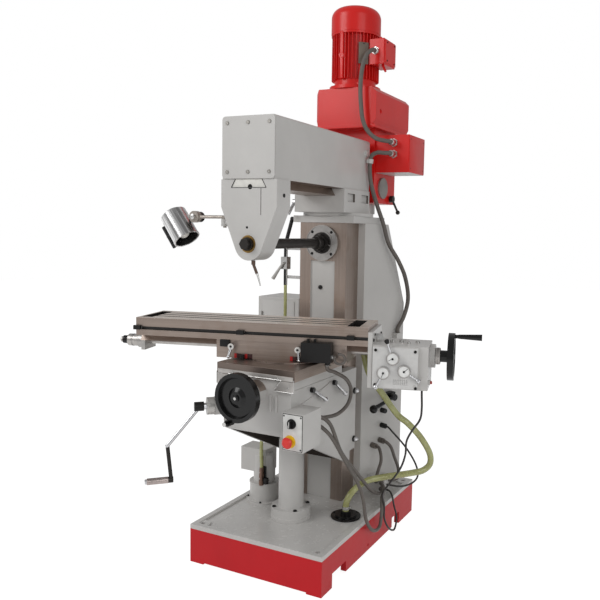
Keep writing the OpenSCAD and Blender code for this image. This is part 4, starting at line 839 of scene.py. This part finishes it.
def build_column():
    def machined(x, y, z, n):
        front = (np.abs(x) < 109.5) & (y < 59.5) & (z < 1307.5) & (n[1] < -0.9)
        sides = (np.abs(np.abs(x) - 109) < 0.4) & (y < 171) & (z < 1308)
        return front | sides

    dress("column", "frame", grey(), 0.0025, [(machined, iron("z", 0.0))])
    dress("turret", "frame", grey(), 0.0015, [
        # painted shade: the faces inside the two recesses on the turret's side are dark brown grey
        (lambda x, y, z, n: (x > 95) & (np.abs(z - 1410.5) < 16.6) & (n[0] < 0.5)
         & (((y > 50) & (y < 116)) | ((y > 177) & (y < 243))),
         moulded("Recess", (92, 86, 80), 0.6))])
    dress("turret_lever", "turret_lever", chrome_plate(), 0.0008)
    dress("spindle_flange", "frame", steel(), 0.0015)
    dress("spindle_arbor", "spindle", oxide(), 0.0008, [
        (lambda x, y, z, n: (y > 33) & (np.hypot(x, z - SPINDLE_Z) > 33), steel())])
    dress("electrical_cabinet", "frame", grey(), 0.003)
    dress("side_fittings", "frame", dark(), 0.0015, [
        (lambda x, y, z, n: (z < 217) | ((z > 790) & (z < 840)), grey()),
        (lambda x, y, z, n: (z > 325) & (z < 375), turned_steel("Gland steel", (130, 124, 118), 0.36))])
    dress("column_lever", "column_lever", black(), 0.0008)
    dress("coolant_line", "frame", dark(), 0.001, [
        (lambda x, y, z, n: (np.abs(z - 1134) < 27) | ((x > -172) & (z < 1203)), bright())])
    dress("valve_lever", "valve_lever", moulded("Valve handle", (188, 186, 182), 0.3), 0.0008)
    s = Shell()
    for d in (45, 135, 225, 315):
        s.screw([0, 52, SPINDLE_Z] + 63 * spoke(d, X, Z), -Y, 6, 6)
    s.cap(9, 4, 5.5, 7, [-11, 65, 1039], -Y, 40)
    s.made("column_screws", "frame", [dark()])
    rings = Shell()
    rings.band(0, 2.5, 46, 52, [0, 47, SPINDLE_Z], -Y, 64)
    rings.band(0, 2, 70, 73, [0, 47, SPINDLE_Z], -Y, 64)
    rings.made("flange_rings", "frame", [steel()])
    keys = Shell()
    keys.turned([(0, 20), (0, 33), (7, 33), (9, 29), (9, 20)], [0, 45, SPINDLE_Z], -Y, 48, loop=True)
    for i in (-1, 1):
        keys.slab(round_rect(14, 16, 1.5), [0, 36, SPINDLE_Z + 30 * i], X, Z, 10, 1)
    keys.turned([(0, 19.3), (0, 27), (26, 27), (30, 23), (30, 19.3)], [0, 22, SPINDLE_Z], -Y, 12,
                loop=True)
    keys.made("spindle_keys", "spindle", [oxide()])
    Shell().slab(round_rect(176, 508, 6), [-341, 255, 690], X, Z, 3.0, 1).made(
        "cabinet_door", "frame", [grey()])
    lock = Shell()
    lock.turned([(0, 0), (0, 9), (5, 9), (6, 8), (6, 3), (3, 3), (3, 0)], [-265, 252, 700], -Y)
    for z in (520, 860):
        lock.bar([[-429, 248, z - 30], [-429, 248, z], [-429, 248, z + 30]], 5)
    lock.made("cabinet_lock", "frame", [bright()])


class MILL_OT_ram(bpy.types.Operator):
    """Ram, its front cover, the arbor support and the coolant nozzle"""
    bl_idname = "mill.ram"
    bl_label = "Ram"

    def execute(self, context):
        build_ram()
        return {"FINISHED"}


def build_ram():
    dark_way = iron("y", 0.0)
    dress("ram", "ram", grey(), 0.0025, [
        (lambda x, y, z, n: (z < 1446.4) & (n[1] > -0.9), dark_way)])
    dress("ram_cover", "ram", grey(), 0.0008)
    dress("arbor_support", "ram", grey(), 0.005, [
        (lambda x, y, z, n: (z > 1417) & (np.abs(x) < 73) & (np.abs(n[1]) < 0.5), dark_way)])
    dress("arbor_bush", "ram", turned_steel("Bronze", (150, 120, 70), 0.3), 0.0008)
    dress("coolant_nozzle", "ram", turned_steel("Nozzle", (104, 88, 80), 0.34), 0.0006, [
        (lambda x, y, z, n: z < 1124, bright())])
    s = Shell()
    for x in (-86, 0, 86):
        for z in (1470, 1636):
            s.turned([(0, 0), (0, 6.5), (2.4, 6.5), (3.4, 5), (3.4, 2), (1.6, 2), (1.6, 0)],
                     [x, -474, z], -Y, 20)
    s.made("cover_screws", "ram", [turned_steel("Dull zinc", (150, 146, 140), 0.35)])
    b = Shell()
    # black discs in the holes and the notch of the arbor support: painted shade inside them; the black
    # bars along the dovetail are its dark joint
    b.disc(7, 1.2, [115, -425, 1392], X, 20)
    b.disc(4, 0.8, [-5, -469, 1281], -Y, 16)
    b.disc(8.8, 0.8, [6, -468.3, 1420], -Y, 24)
    line = [[-55, -469.2, 1446], [-72, -469.2, 1417], [72, -469.2, 1417], [55, -469.2, 1446]]
    for low, high in zip(line, line[1:]):
        b.bar([low, high], 1.1, 0, 8)
    b.made("support_hole_shade_and_joints", "ram", [black()])
    dovetail = [[-71, 1418], [71, 1418], [54.5, 1445.5], [-54.5, 1445.5]]
    Shell().slab(dovetail, [0, -467, 0], X, Z, 1.2, 0.3).made(
        "way_end", "ram", [moulded("Bare way end", (214, 212, 206), 0.4)], "ground_iron")
    clip = Shell()
    clip.band(-9, 9, 9.4, 12.4, [130, 226, 1572], [0.12, 0, 1], 32)
    clip.slab(round_rect(24, 18, 3), [117, 226, 1572], Y, Z, 4, 1)
    clip.made("conduit_clip", "ram", [grey()])


LAMP_REAR = np.array([-361, -432, 1322.0])
LAMP_LENS = np.array([-293, -437, 1233.0])
KNUCKLE = np.array([-252, -432, 1315.0])


class MILL_OT_lamp(bpy.types.Operator):
    """Work lamp with its arm, shade and bulb"""
    bl_idname = "mill.lamp"
    bl_label = "Work lamp"

    def execute(self, context):
        build_lamp()
        return {"FINISHED"}


def build_lamp():
    axis = unit(LAMP_LENS - LAMP_REAR)
    spun = spun_sheet("Spun aluminium", (0, math.atan2(axis[0], -axis[2]), 0))
    long = float(np.linalg.norm(LAMP_LENS - LAMP_REAR))
    dress("lamp_arm", "lamp_arm", turned_steel("Lamp arm", (168, 160, 152), 0.3, 0.7), 0.001)
    dress("lamp_head", "lamp_head", spun, 0.001, [
        (lambda x, y, z, n: np.linalg.norm(np.cross(np.stack([x, y, z], 1) - LAMP_REAR, axis),
                                           axis=1) > 50, dark())])
    cup = Shell()
    cup.turned([(42, 0), (42, 20), (60, 43.6), (long - 1, 43.6), (long - 1, 42.2), (61, 42.2), (43.5, 19),
                (43.5, 0)][::-1], LAMP_REAR, axis, 48)
    cup.made("lamp_lining", "lamp_head", [moulded("Lamp lining", (18, 18, 18), 0.4)], "black_plastic")
    bulb = Shell()
    bulb.turned([(43.6, 0), (43.6, 11), (62, 12), (76, 21), (90, 21), (100, 12), (103, 0)], LAMP_REAR,
                axis, 32, soft=6)
    bulb.made("lamp_bulb", "lamp_head", [moulded("Frosted bulb", (228, 226, 220), 0.25)],
              "polished_aluminium")
    rim = Shell()
    rim.band(long - 5, long, 48.0, 49.4, LAMP_REAR, axis, 64)
    for k in (18, 24, 30):
        rim.band(k, k + 2, 48.0, 48.6, LAMP_REAR, axis, 64)
    rim.made("lamp_rim", "lamp_head", [spun], "polished_aluminium")
    Shell().cap(10, 9, 10, 8, KNUCKLE + [0, -18, 0], -Y, 12).made(
        "lamp_nut", "lamp_arm", [bright()])


class MILL_OT_head(bpy.types.Operator):
    """Rear head with gear housing, electric box, motor and quill"""
    bl_idname = "mill.head"
    bl_label = "Rear head"

    def execute(self, context):
        build_head()
        return {"FINISHED"}


def build_head():
    paint = red()
    dress("head_body", "head", paint, 0.003, [
        (lambda x, y, z, n: (x > 118.5) & (np.abs(z - 1468) < 52) & (np.abs(y - 378) < 52),
         turned_steel("Cast disc", (150, 146, 142), 0.4, 0.6)),
        (lambda x, y, z, n: (y < 262) & (np.hypot(x, z - 1553) < 90), steel())])
    dress("gear_housing", "head", paint, 0.002)
    dress("electric_box", "head", paint, 0.002, [
        (lambda x, y, z, n: (z < 1530.5) & (n[2] < -0.9), grey()),
        (lambda x, y, z, n: (y < 299.5) & (y > 264), bright())])
    dress("motor_body", "head", paint, 0.0006)
    dress("motor_cowl", "head", paint, 0.002)
    dress("terminal_box", "head", paint, 0.007, [
        (lambda x, y, z, n: (y < 269.5), bright())])
    dress("quill", "quill", steel(), 0.001)
    dress("vertical_spindle", "vertical_spindle", oxide(), 0.001)
    dress("quill_lever", "quill_lever", oxide(), 0.001)
    rib = Shell()
    out = spoke(-98)
    foot = [0, MOTOR_Y, 1925] + 86 * out
    rib.slab(round_rect(17, 196, 3), foot + [0, 0, 98], np.cross(Z, out), Z, 23, 2)
    rib.turned([(0, 0), (0, 14), (20, 14), (24, 11), (24, 5), (15, 5), (15, 0)],
               foot + [0, 0, 96], out, 32)
    for d in (35, 125, 215, 305):
        rib.cap(9, 6, 7, 8, [0, MOTOR_Y, 1899] + 98 * spoke(d), Z, 6)
    rib.made("motor_rib", "head", [paint])
    out, plate_z = spoke(-45), 2030
    bare = turned_steel("Bare plate", (120, 110, 100), 0.45, 0.6)
    at = [0, MOTOR_Y, plate_z] + 102.5 * out
    Shell().slab(round_rect(44, 90, 3), at, np.cross(Z, out), Z, 3.5, 0.8).made(
        "motor_plate", "head", [bare])
    small = Shell()
    for z in (plate_z - 40, plate_z + 40):
        small.screw([0, MOTOR_Y, z] + 106 * out, out, 3, 1.5)
    # a black disc over the hole in the gear housing's side: painted shade of the hole
    small.cap(11, 2, 3, 9, [137.5, 290, 1756], X, 24)
    for x, r, h, places in ((166, 3.5, 2.5, [(292, 2000), (292, 2076), (366, 2000), (366, 2076)]),
                            (275, 4, 1.8, [(318, 1548), (462, 1548), (318, 1672), (462, 1672)])):
        for y, z in places:
            small.screw([x, y, z], X, r, h)
    small.made("head_screws_and_hole_shade", "head", [dark()])
    glands = Shell()
    for p in (*BOX_GLANDS, MOTOR_GLAND):
        glands.turned([(-2, 9.3), (-2, 13.4), (5, 13.4), (7, 11.5), (7, 9.3)], p, -Y, 32, loop=True)
    for p in BOX_GLANDS:
        glands.band(0, 8, 14, 18, [p[0], 300, p[2]], -Y, 6)
    glands.band(0, 6, 14, 17, [MOTOR_GLAND[0], 270, MOTOR_GLAND[2]], -Y, 6)
    glands.made("head_glands", "head", [bright()])
    Shell().slab(round_rect(176, 156, 3), [275, 390, 1610], Y, Z, 1.6, 0.5).made(
        "box_lid", "head", [paint])
    bolts = Shell()
    bolts.bar([[140, 300, 1990], [150, 296, 1972], [160, 292, 1956]], [6, 5, 5], 0, 10)
    bolts.bar([[130, 300, 2090], [131, 300, 2099], [131, 300, 2104]], [7, 7, 4], 0, 10)
    bolts.made("terminal_box_bolts", "head", [paint])


def crank_reach(x, y):
    """Distance along the crank's axis from the knee's corner."""
    return -(x + 144 + y + 410) / math.sqrt(2)


class MILL_OT_knee(bpy.types.Operator):
    """Knee with its control box, handwheel, crank and clamp levers"""
    bl_idname = "mill.knee"
    bl_label = "Knee"

    def execute(self, context):
        build_knee()
        return {"FINISHED"}


def build_knee():
    chrome = chrome_plate()
    # painted shade: the walls inside the hollow knee are dark brown
    inner = moulded("Bare casting", (58, 50, 44), 0.7)
    dress("knee", "knee", grey(), 0.0035, [
        (lambda x, y, z, n: (z > 708.5) & (np.abs(x) < 109), iron("y", 0.0)),
        (lambda x, y, z, n: (np.abs(x) < 126.5) & (y > -392.5) & (y < 41.5) & (z < 691.5)
         & (n[2] < 0.3) & ~((n[2] < -0.6) & (z < 600)), inner)])
    dress("control_box", "knee", grey(), 0.0015)
    dress("emergency_stop", "emergency_stop", moulded("Stop red", (212, 44, 38), 0.26), 0.0018)
    dress("rotary_switch", "rotary_switch", dark(), 0.0012)
    dress("cross_handwheel", "cross_handwheel", black(), 0.0015, [
        (lambda x, y, z, n: (y > -481) & (np.hypot(x, z - WHEEL_Z) < 33.5), steel())])
    dress("elevation_crank", "elevation_crank", chrome, 0.0008, [
        (lambda x, y, z, n: (crank_reach(x, y) < 63) & (crank_reach(x, y) > 35),
         turned_steel("Dial", (196, 194, 190), 0.3, 0.5)),
        (lambda x, y, z, n: (crank_reach(x, y) > 70) & (crank_reach(x, y) < 107) & (z > 609), dark()),
        (lambda x, y, z, n: (crank_reach(x, y) > 170) & (crank_reach(x, y) < 213) & (z < 482), oxide())])
    dress("crank_grip", "crank_grip", turned_steel("Grip steel", (176, 164, 160), 0.16), 0.001)
    for name in ("knee_lever_front", "knee_lever_back"):
        dress(name, name, chrome, 0.0006, [(lambda x, y, z, n: x < 158.5, black())])
    ring = [(0, 8.6), (0, 21), (1.5, 22.5), (4, 22), (5, 19), (5, 8.6)]
    Shell().turned(ring, [178, PANEL_Y, 554], -Y, 48, loop=True).made(
        "stop_ring", "knee", [moulded("Stop yellow", (222, 184, 30), 0.35)], "red_plastic")
    Shell().slab(round_rect(80, 128, 3), [186.5, PANEL_Y, 585.5], X, Z, 0.8, 0.2).made(
        "control_gasket", "knee", [dark()])
    Shell().slab(round_rect(76, 124, 4), [186.5, PANEL_Y - 0.6, 585.5], X, Z, 1.6, 0.5).made(
        "control_plate", "knee", [moulded("Pale plate", (212, 211, 208), 0.34)], "grey_paint")
    collar = Shell()
    collar.turned([(1.6, 14.4), (1.6, 17.5), (4.5, 17.5), (6, 15.6), (6, 14.4)], [184, PANEL_Y, 617], -Y,
                  36, loop=True)
    for x in (153, 220):
        for z in (530, 642):
            collar.screw([x, PANEL_Y - 2.2, z], -Y, 3, 1.5)
    collar.made("switch_collar", "knee", [dark()])
    Shell().slab(round_rect(2.0, 22, 0.9), [184, -486, 617], X, Z, 0.7, 0.2).made(
        "switch_mark", "rotary_switch", [moulded("White mark", (230, 228, 224), 0.4)], "grey_paint")
    Shell().cap(13, 3, 4, 11, [0, -534.1, WHEEL_Z], -Y, 32).made(
        "handwheel_washer", "cross_handwheel", [black()])
    stub = Shell()
    stub.cap(6, 3, 4, 4.5, [0, -538.1, WHEEL_Z], -Y, 6)
    stub.turned([(0, 0), (0, 7), (2, 8), (2, 0)], [-31, -556, 606], -Y, 24)
    stub.made("handle_end", "cross_handwheel", [bright()])
    plugs, bolts = Shell(), Shell()
    for y, z in ((92, 613), (93, 407)):
        plugs.cap(13, 4, 5, 11, [144, y, z], X, 28)
        bolts.turned([(5, 0), (5, 10.4), (14, 10.4), (19, 7), (22, 0)], [144, y, z], X, 6, soft=2)
    plugs.made("knee_washers", "knee", [dark()])
    bolts.made("knee_nuts", "knee", [chrome])
    ribs = Shell()
    for x in (62, 86):
        ribs.slab(round_rect(9, 60, 3), [x, -410, 660], X, Z, 7, 2)
    t = np.linspace(0, 1, 24)[:, None]
    a, b, c = (np.array(p) for p in ([144.0, -120, 690], [144.0, -250, 660], [144.0, -345, 650]))
    path = (1 - t) ** 2 * a + 2 * t * (1 - t) * b + t**2 * c
    ribs.bar(path, 4, 0, 12)
    ribs.made("knee_ribs", "knee", [grey()])


class MILL_OT_saddle(bpy.types.Operator):
    """Saddle, swivel carriage, wipers, clamp levers and limit switch"""
    bl_idname = "mill.saddle"
    bl_label = "Saddle"

    def execute(self, context):
        build_saddle()
        return {"FINISHED"}


def build_saddle():
    dress("saddle", "saddle", iron("y", 0.0), 0.002, [
        (lambda x, y, z, n: (z < 748.5) & (n[1] > -0.9), grey()),
        # faces that point to the front get a darker copy of the ground iron: painted shade
        (lambda x, y, z, n: n[1] < -0.9, ground_iron("Saddle front", (118, 106, 99)))])
    dress("swivel_carriage", "carriage", iron(), 0.0015, [
        (lambda x, y, z, n: (z < 809) & (along_table(x, y)[1] < -104.5), dark())])
    chrome = chrome_plate()
    dress("table_lock_left", "table_lock_left", chrome, 0.0006)
    dress("table_lock_right", "table_lock_right", chrome, 0.0006)
    dress("limit_switch", "carriage", dark(), 0.0012)
    caps = Shell()
    for name, u in (("left", -184), ("right", 72)):
        cap = Shell()
        at = on_table([u, -130, 839])
        cap.turned([(0, 5), (0, 12), (1.8, 11.4), (1.8, 5)], at, -TABLE_V, 28, loop=True)
        cap.disc(5, 1.0, at, -TABLE_V, 24, 1)
        cap.made(f"lock_cap_{name}", f"table_lock_{name}",
                 [moulded("White ring", (222, 220, 216), 0.3), black()], "chrome")
    # each carriage slot is red paint over its first share and painted shade over the rest
    for a, b in ((-180, -151.2), (-138.8, -109), (36, 67.8), (80.2, 112)):
        middle = a + 0.35 * (b - a)
        for finish, (low, high) in enumerate(((a, middle), (middle, b))):
            at = on_table([(low + high) / 2, -103, 801.2])
            caps.slab(round_rect(high - low - 0.6, 17, 0.6), at, TABLE_U, Z, 2.0, 0.4, finish)
    slot_looks = [moulded("Red bolt slot", (168, 24, 22), 0.4), moulded("Slot shade", (52, 16, 16), 0.5)]
    caps.made("slot_paint_and_shade", "carriage", slot_looks, "red_paint")
    Shell().slab(round_rect(36, 26, 2), on_table([-215, -104, 848]), TABLE_U, Z, 12, 1.5).made(
        "carriage_stop", "carriage", [dark()])
    wiper = Shell()
    jaw = np.array([[79.6, 709.6], [165.6, 709.6], [165.6, 748], [108.6, 748]])
    for side in (1, -1):
        outline = (jaw * [side, 1])[::side]
        wiper.slab(outline, [0, -422, 0], X, Z, 3.4, 0.6)
        line = [[a * side, -425.6, b]
                for a, b in ((2, 751.4), (113, 751.4), (82.6, 711.1), (164.3, 711.1), (164.3, 756))]
        for a, b in zip(line, line[1:]):
            wiper.bar([a, b], 1.3, 1, 8)
    wiper.slab([[-160, 750], [160, 750], [160, 766], [-160, 766]], [0, -422, 0], X, Z, 3.0, 0.6)
    pale_plate = turned_steel("Wiper plate", (190, 186, 182), 0.3, 0.5)
    wiper.made("saddle_wipers", "saddle", [pale_plate, bright()])
    s = Shell()
    for x, z in ((142, 727), (95, 757), (-95, 757), (-142, 727)):
        s.screw([x, -425.2, z], -Y, 4, 2.4)
    s.made("wiper_screws", "saddle", [bright()])
    ring = Shell()
    ring.band(0, 0.8, 9.2, 12.5, on_table([186, -138, 792]), -Z, 28)
    ring.cap(8, 7, 8, 6, on_table([200.5, -134, SCREW_Z]), TABLE_U, 24)
    ring.made("switch_gland", "carriage", [bright()])
    t = np.linspace(0.05, 0.95, 40)[:, None] * 2 * math.pi
    loop = on_table(np.hstack([230 + 20 * np.sin(t - 0.6), -132 + 0 * t, 815 + 18 * np.cos(t - 0.6)]))
    Shell().bar(loop, 5.2).made("switch_loop", "carriage", [conduit_look()], "dark_conduit")
    marks = Shell()
    for d in range(-150, -29, 2):
        out = spoke(d)
        long = 3.0 if d % 10 else 3.6
        marks.slab(corners(0.7, long), [0, SWIVEL_Y, 790] + 149.8 * out, np.cross(Z, out), Z, 0.35, 0.05)
    marks.made("swivel_scale", "saddle", [black()])


def along_table(x, y):
    """Distances of points along and across the swivelled table: their plan turned back."""
    y = y - SWIVEL_Y
    return x * math.cos(SWIVEL) + y * math.sin(SWIVEL), y * math.cos(SWIVEL) - x * math.sin(SWIVEL)


class MILL_OT_table(bpy.types.Operator):
    """Table, brackets, feed gearbox with its dials, table screw and handwheel"""
    bl_idname = "mill.table"
    bl_label = "Table"

    def execute(self, context):
        build_table()
        return {"FINISHED"}


def build_table():
    # painted shade: a near black for the T-slots, the troughs and the groove along the front
    inside = moulded("Oily iron", (30, 26, 24), 0.4)

    def hollow(x, y, z, n):
        u, v = along_table(x, y)
        trough = (((u > -561.5) & (u < -517.5)) | ((u > 245.5) & (u < 292.5))) & (np.abs(v) < 88.5)
        slot = (np.abs(v - 50 * np.round(v / 50)) < 12.5) & (np.abs(v) < 63) & (u > -522) & (u < 250)
        return (trough | slot) & (z > 903) & (z < 929.5)

    dress("table", "table", iron(), 0.0012, [
        # upward faces of the top get a lighter copy of the ground iron: painted light
        (lambda x, y, z, n: (z > 929.5) & (n[2] > 0.9),
         ground_iron("Table top", (232, 220, 210), SWIVEL)),
        (hollow, inside),
        # the groove along the table's front gets the same painted shade
        (lambda x, y, z, n: (z > 883.5) & (z < 896.5) & (along_table(x, y)[1] < -104), inside)
    ])
    dress("table_brackets", "table", grey(), 0.002, [
        (lambda x, y, z, n: along_table(x, y)[1] < -113, dark()),
        (lambda x, y, z, n: along_table(x, y)[0] < -570, steel())])
    dress("feed_gearbox", "table", grey(), 0.002)
    chrome = chrome_plate()
    for name in ("selector_top", "selector_left", "selector_right"):
        dress(name, name, chrome, 0.0006)
    dress("table_screw", "table_drive", turned_steel("Screw collar", (186, 182, 178), 0.28), 0.0012)
    dress("table_handwheel", "table_drive", black(), 0.0015)
    spot = tuple(float(x) for x in on_table([452, -121.2, 742]) * MM)
    face = printed_plate("Gearbox plate", (214, 213, 211), SWIVEL, spot)
    Shell().slab(round_rect(164, 148, 4), on_table([430, -118, 791]), TABLE_U, Z, 2.2, 0.6).made(
        "gearbox_plate", "table", [face], "grey_paint")
    heads = Shell()
    for u, z in ((359, 728), (359, 854), (502, 854), (506, 722)):
        heads.screw(on_table([u, -120.2, z]), -TABLE_V, 5.5, 4)
    heads.screw(on_table([345, -60, 900]), TABLE_U, 5, 3)
    for v in (-90, 90):
        for z in (884, 860):
            heads.screw(on_table([345, v, z]), TABLE_U, 6, 4)
    heads.made("gearbox_screws", "table", [dark()])
    pale = moulded("Dial face", (226, 226, 224), 0.3)
    for name, (u, z), lean, knob in (("top", (423, 827), 205, (400, 888)),
                                     ("left", (390, 774), 250, (363, 721)),
                                     ("right", (465, 783), 40, (516, 752))):
        dial = Shell()
        here = on_table([u, -134, z])
        dial.disc(19.5, 2.5, here, -TABLE_V, 40)
        along = spoke(lean, TABLE_U, Z)
        across = np.cross(-TABLE_V, along)
        dial.slab([[-3, -1.2], [18, -0.6], [18, 0.6], [-3, 1.2]], here - 2.2 * TABLE_V, along, across,
                  1.0, 0.1, 1)
        dial.turned([(2, 0), (2, 4), (5, 4), (6, 3), (6, 0)], here, -TABLE_V, 16, 1)
        dial.turned([(0, 19.6), (0, 24), (2.5, 24), (4, 22.4), (4, 19.6)], here, -TABLE_V, 48, 2,
                    loop=True)
        dial.made(f"dial_{name}", f"selector_{name}", [pale, black(), steel()], "grey_paint")
        tip = on_table([knob[0], -130, knob[1]])
        outline = [(-9, 0), (-9, 5), (-4, 7.6), (3, 9.2), (7, 7), (9, 0)]
        Shell().turned(outline, tip, tip - on_table([u, -130, z]), 24, soft=2).made(
            f"knob_{name}", f"selector_{name}", [dark() if name == "top" else chrome])
    top = Shell()
    for u, v, r, h in ((395, -40, 7, 12), (412, -40, 7, 12), (440, -20, 9, 9), (470, -50, 6, 10),
                       (500, -20, 8, 8)):
        top.cap(r, h - 2, h, r - 2, on_table([u, v, 870]), Z, 20)
    top.slab(round_rect(44, 34, 2), on_table([352, -30, 884]), TABLE_U, Z, 3, 0.6)
    top.made("gearbox_top_fittings", "table", [bright()])
    Shell().cap(6, 5, 7, 4, on_table([555, -80, 738]), TABLE_U, 24).made(
        "gearbox_button", "table", [moulded("Button red", (170, 60, 50), 0.3)], "red_plastic")
    collar = Shell()
    for count, u, r in ((48, 575, 30.9), (40, -640, 23.9)):
        for k in range(count):
            out = spoke(360 * k / count, TABLE_V, Z)
            collar.slab(corners(8, 0.8), on_table([u, 0, SCREW_Z]) + r * out, TABLE_U,
                        np.cross(out, TABLE_U), 0.4, 0.05)
    collar.made("dial_marks", "table_drive", [black()])
    hub = Shell()
    hub.cap(11, 3, 4, 9, on_table([632, 0, SCREW_Z]), TABLE_U, 24)
    hub.turned([(0, 11.1), (0, 15), (3, 16), (22, 16), (25, 13), (25, 11.1)],
               on_table([-661, 0, SCREW_Z]), -TABLE_U, 32, loop=True)
    hub.made("table_screw_ends", "table_drive", [black()])


# ---------------------------------------------------------------- stage
CAMERA_FILM = (36, 40.75)
CAMERA_SHIFT = (-0.11603, -0.01693)
CAMERA_AT = (1.37754, -2.41023, 1.28310)
CAMERA_AXES = ((0.90409991, 0.42666039, 0.02375436), (-0.05902459, 0.06963135, 0.99582507),
               (0.42322507, -0.90172744, 0.08813715))
FLOOR_RADIUS, FLOOR_SIDES, FLOOR_Z = 14, 64, -0.0005
FLOOR_GLOW, SEEN_SHARE, GLOSSY_SHARE = 1.34, 0.7, 0.5
LIGHT_TARGET = [0, 0, 1.1]
LIGHTS = {"Key": ((-2.6, -3.4, 3.6), 2.4, 84), "Fill": ((3.4, -2.4, 2.4), 2.4, 36)}


class MILL_OT_camera(bpy.types.Operator):
    """Camera at the photograph's place and angle"""
    bl_idname = "mill.camera"
    bl_label = "Camera"

    def execute(self, context):
        build_camera()
        return {"FINISHED"}


def build_camera():
    data = bpy.data.cameras.new("Camera")
    data.sensor_width, data.lens = CAMERA_FILM
    data.shift_x, data.shift_y = CAMERA_SHIFT
    cam = add_object("Camera", data)
    stand(cam, CAMERA_AXES, CAMERA_AT)
    bpy.context.scene.camera = cam


class MILL_OT_stage(bpy.types.Operator):
    """Pale floor and plain soft light"""
    bl_idname = "mill.stage"
    bl_label = "Floor and light"

    def execute(self, context):
        build_stage()
        return {"FINISHED"}


def build_stage():
    f = Finish("Pale floor")
    f.set(Base_Color=(0.86, 0.86, 0.86), Roughness=0.9)
    seen = f.node("ShaderNodeLightPath", output="Is Camera Ray") * SEEN_SHARE
    glossy = f.node("ShaderNodeLightPath", output="Is Glossy Ray") * GLOSSY_SHARE
    glow = f.node("ShaderNodeEmission", {}, {1: FLOOR_GLOW})
    mixed = f.node("ShaderNodeMixShader", {}, {
        0: (seen + glossy).held(), 1: Value(f, f.shader.outputs[0]), 2: glow})
    f.feed(next(n for n in f.tree.nodes if n.type == "OUTPUT_MATERIAL").inputs[0], mixed)
    t = np.arange(FLOOR_SIDES) * 2 * math.pi / FLOOR_SIDES
    mesh = bpy.data.meshes.new("Floor")
    rim = np.stack([FLOOR_RADIUS * np.cos(t), FLOOR_RADIUS * np.sin(t), 0 * t + FLOOR_Z], 1)
    mesh.from_pydata(rim.tolist(), [], [list(range(FLOOR_SIDES))])
    mesh.materials.append(f.material)
    add_object("Floor", mesh)
    world = Finish("Studio", "BACKGROUND", "worlds")
    bpy.context.scene.world = world.material
    seen, through = (world.node("ShaderNodeLightPath", output=f"Is {kind} Ray")
                     for kind in ("Camera", "Transmission"))
    strength = world.node("ShaderNodeMapRange", {}, {0: seen.larger(through), 3: looks().light, 4: 1.0})
    world.set(Color=(1.0, 1.0, 1.0), Strength=strength)
    for name, (at, size, power) in LIGHTS.items():
        data = bpy.data.lights.new(name, "AREA")
        data.size, data.energy = size, power
        stand(add_object(name, data), frame_of(np.subtract(at, LIGHT_TARGET)), at)
    bpy.context.scene.view_settings.view_transform = "Standard"


OPERATORS = [MILL_OT_camera, MILL_OT_cords, MILL_OT_base, MILL_OT_column, MILL_OT_ram, MILL_OT_lamp,
             MILL_OT_head, MILL_OT_knee, MILL_OT_saddle, MILL_OT_table, MILL_OT_stage]


class MILL_PT_panel(bpy.types.Panel):
    """Lists the machine's groups and its looks"""
    bl_idname = "MILL_PT_panel"
    bl_label = "Milling machine"
    bl_space_type = "VIEW_3D"
    bl_region_type = "UI"
    bl_category = "Mill"

    def draw(self, context):
        for name in MillLooks.__annotations__:
            self.layout.prop(context.scene.mill_looks, name)
        for op in OPERATORS:
            self.layout.operator(op.bl_idname)


CLASSES = [MillLooks, *OPERATORS, MILL_PT_panel]


def register():
    for c in CLASSES:
        bpy.utils.register_class(c)
    bpy.types.Scene.mill_looks = bpy.props.PointerProperty(type=MillLooks)


def unregister():
    del bpy.types.Scene.mill_looks
    for c in reversed(CLASSES):
        bpy.utils.unregister_class(c)


def main():
    register()
    for op in OPERATORS:
        group, name = op.bl_idname.split(".")
        if getattr(getattr(bpy.ops, group), name)() != {"FINISHED"}:
            raise RuntimeError(f"{op.bl_label} wasn't finished")


if __name__ == "__main__":
    main()
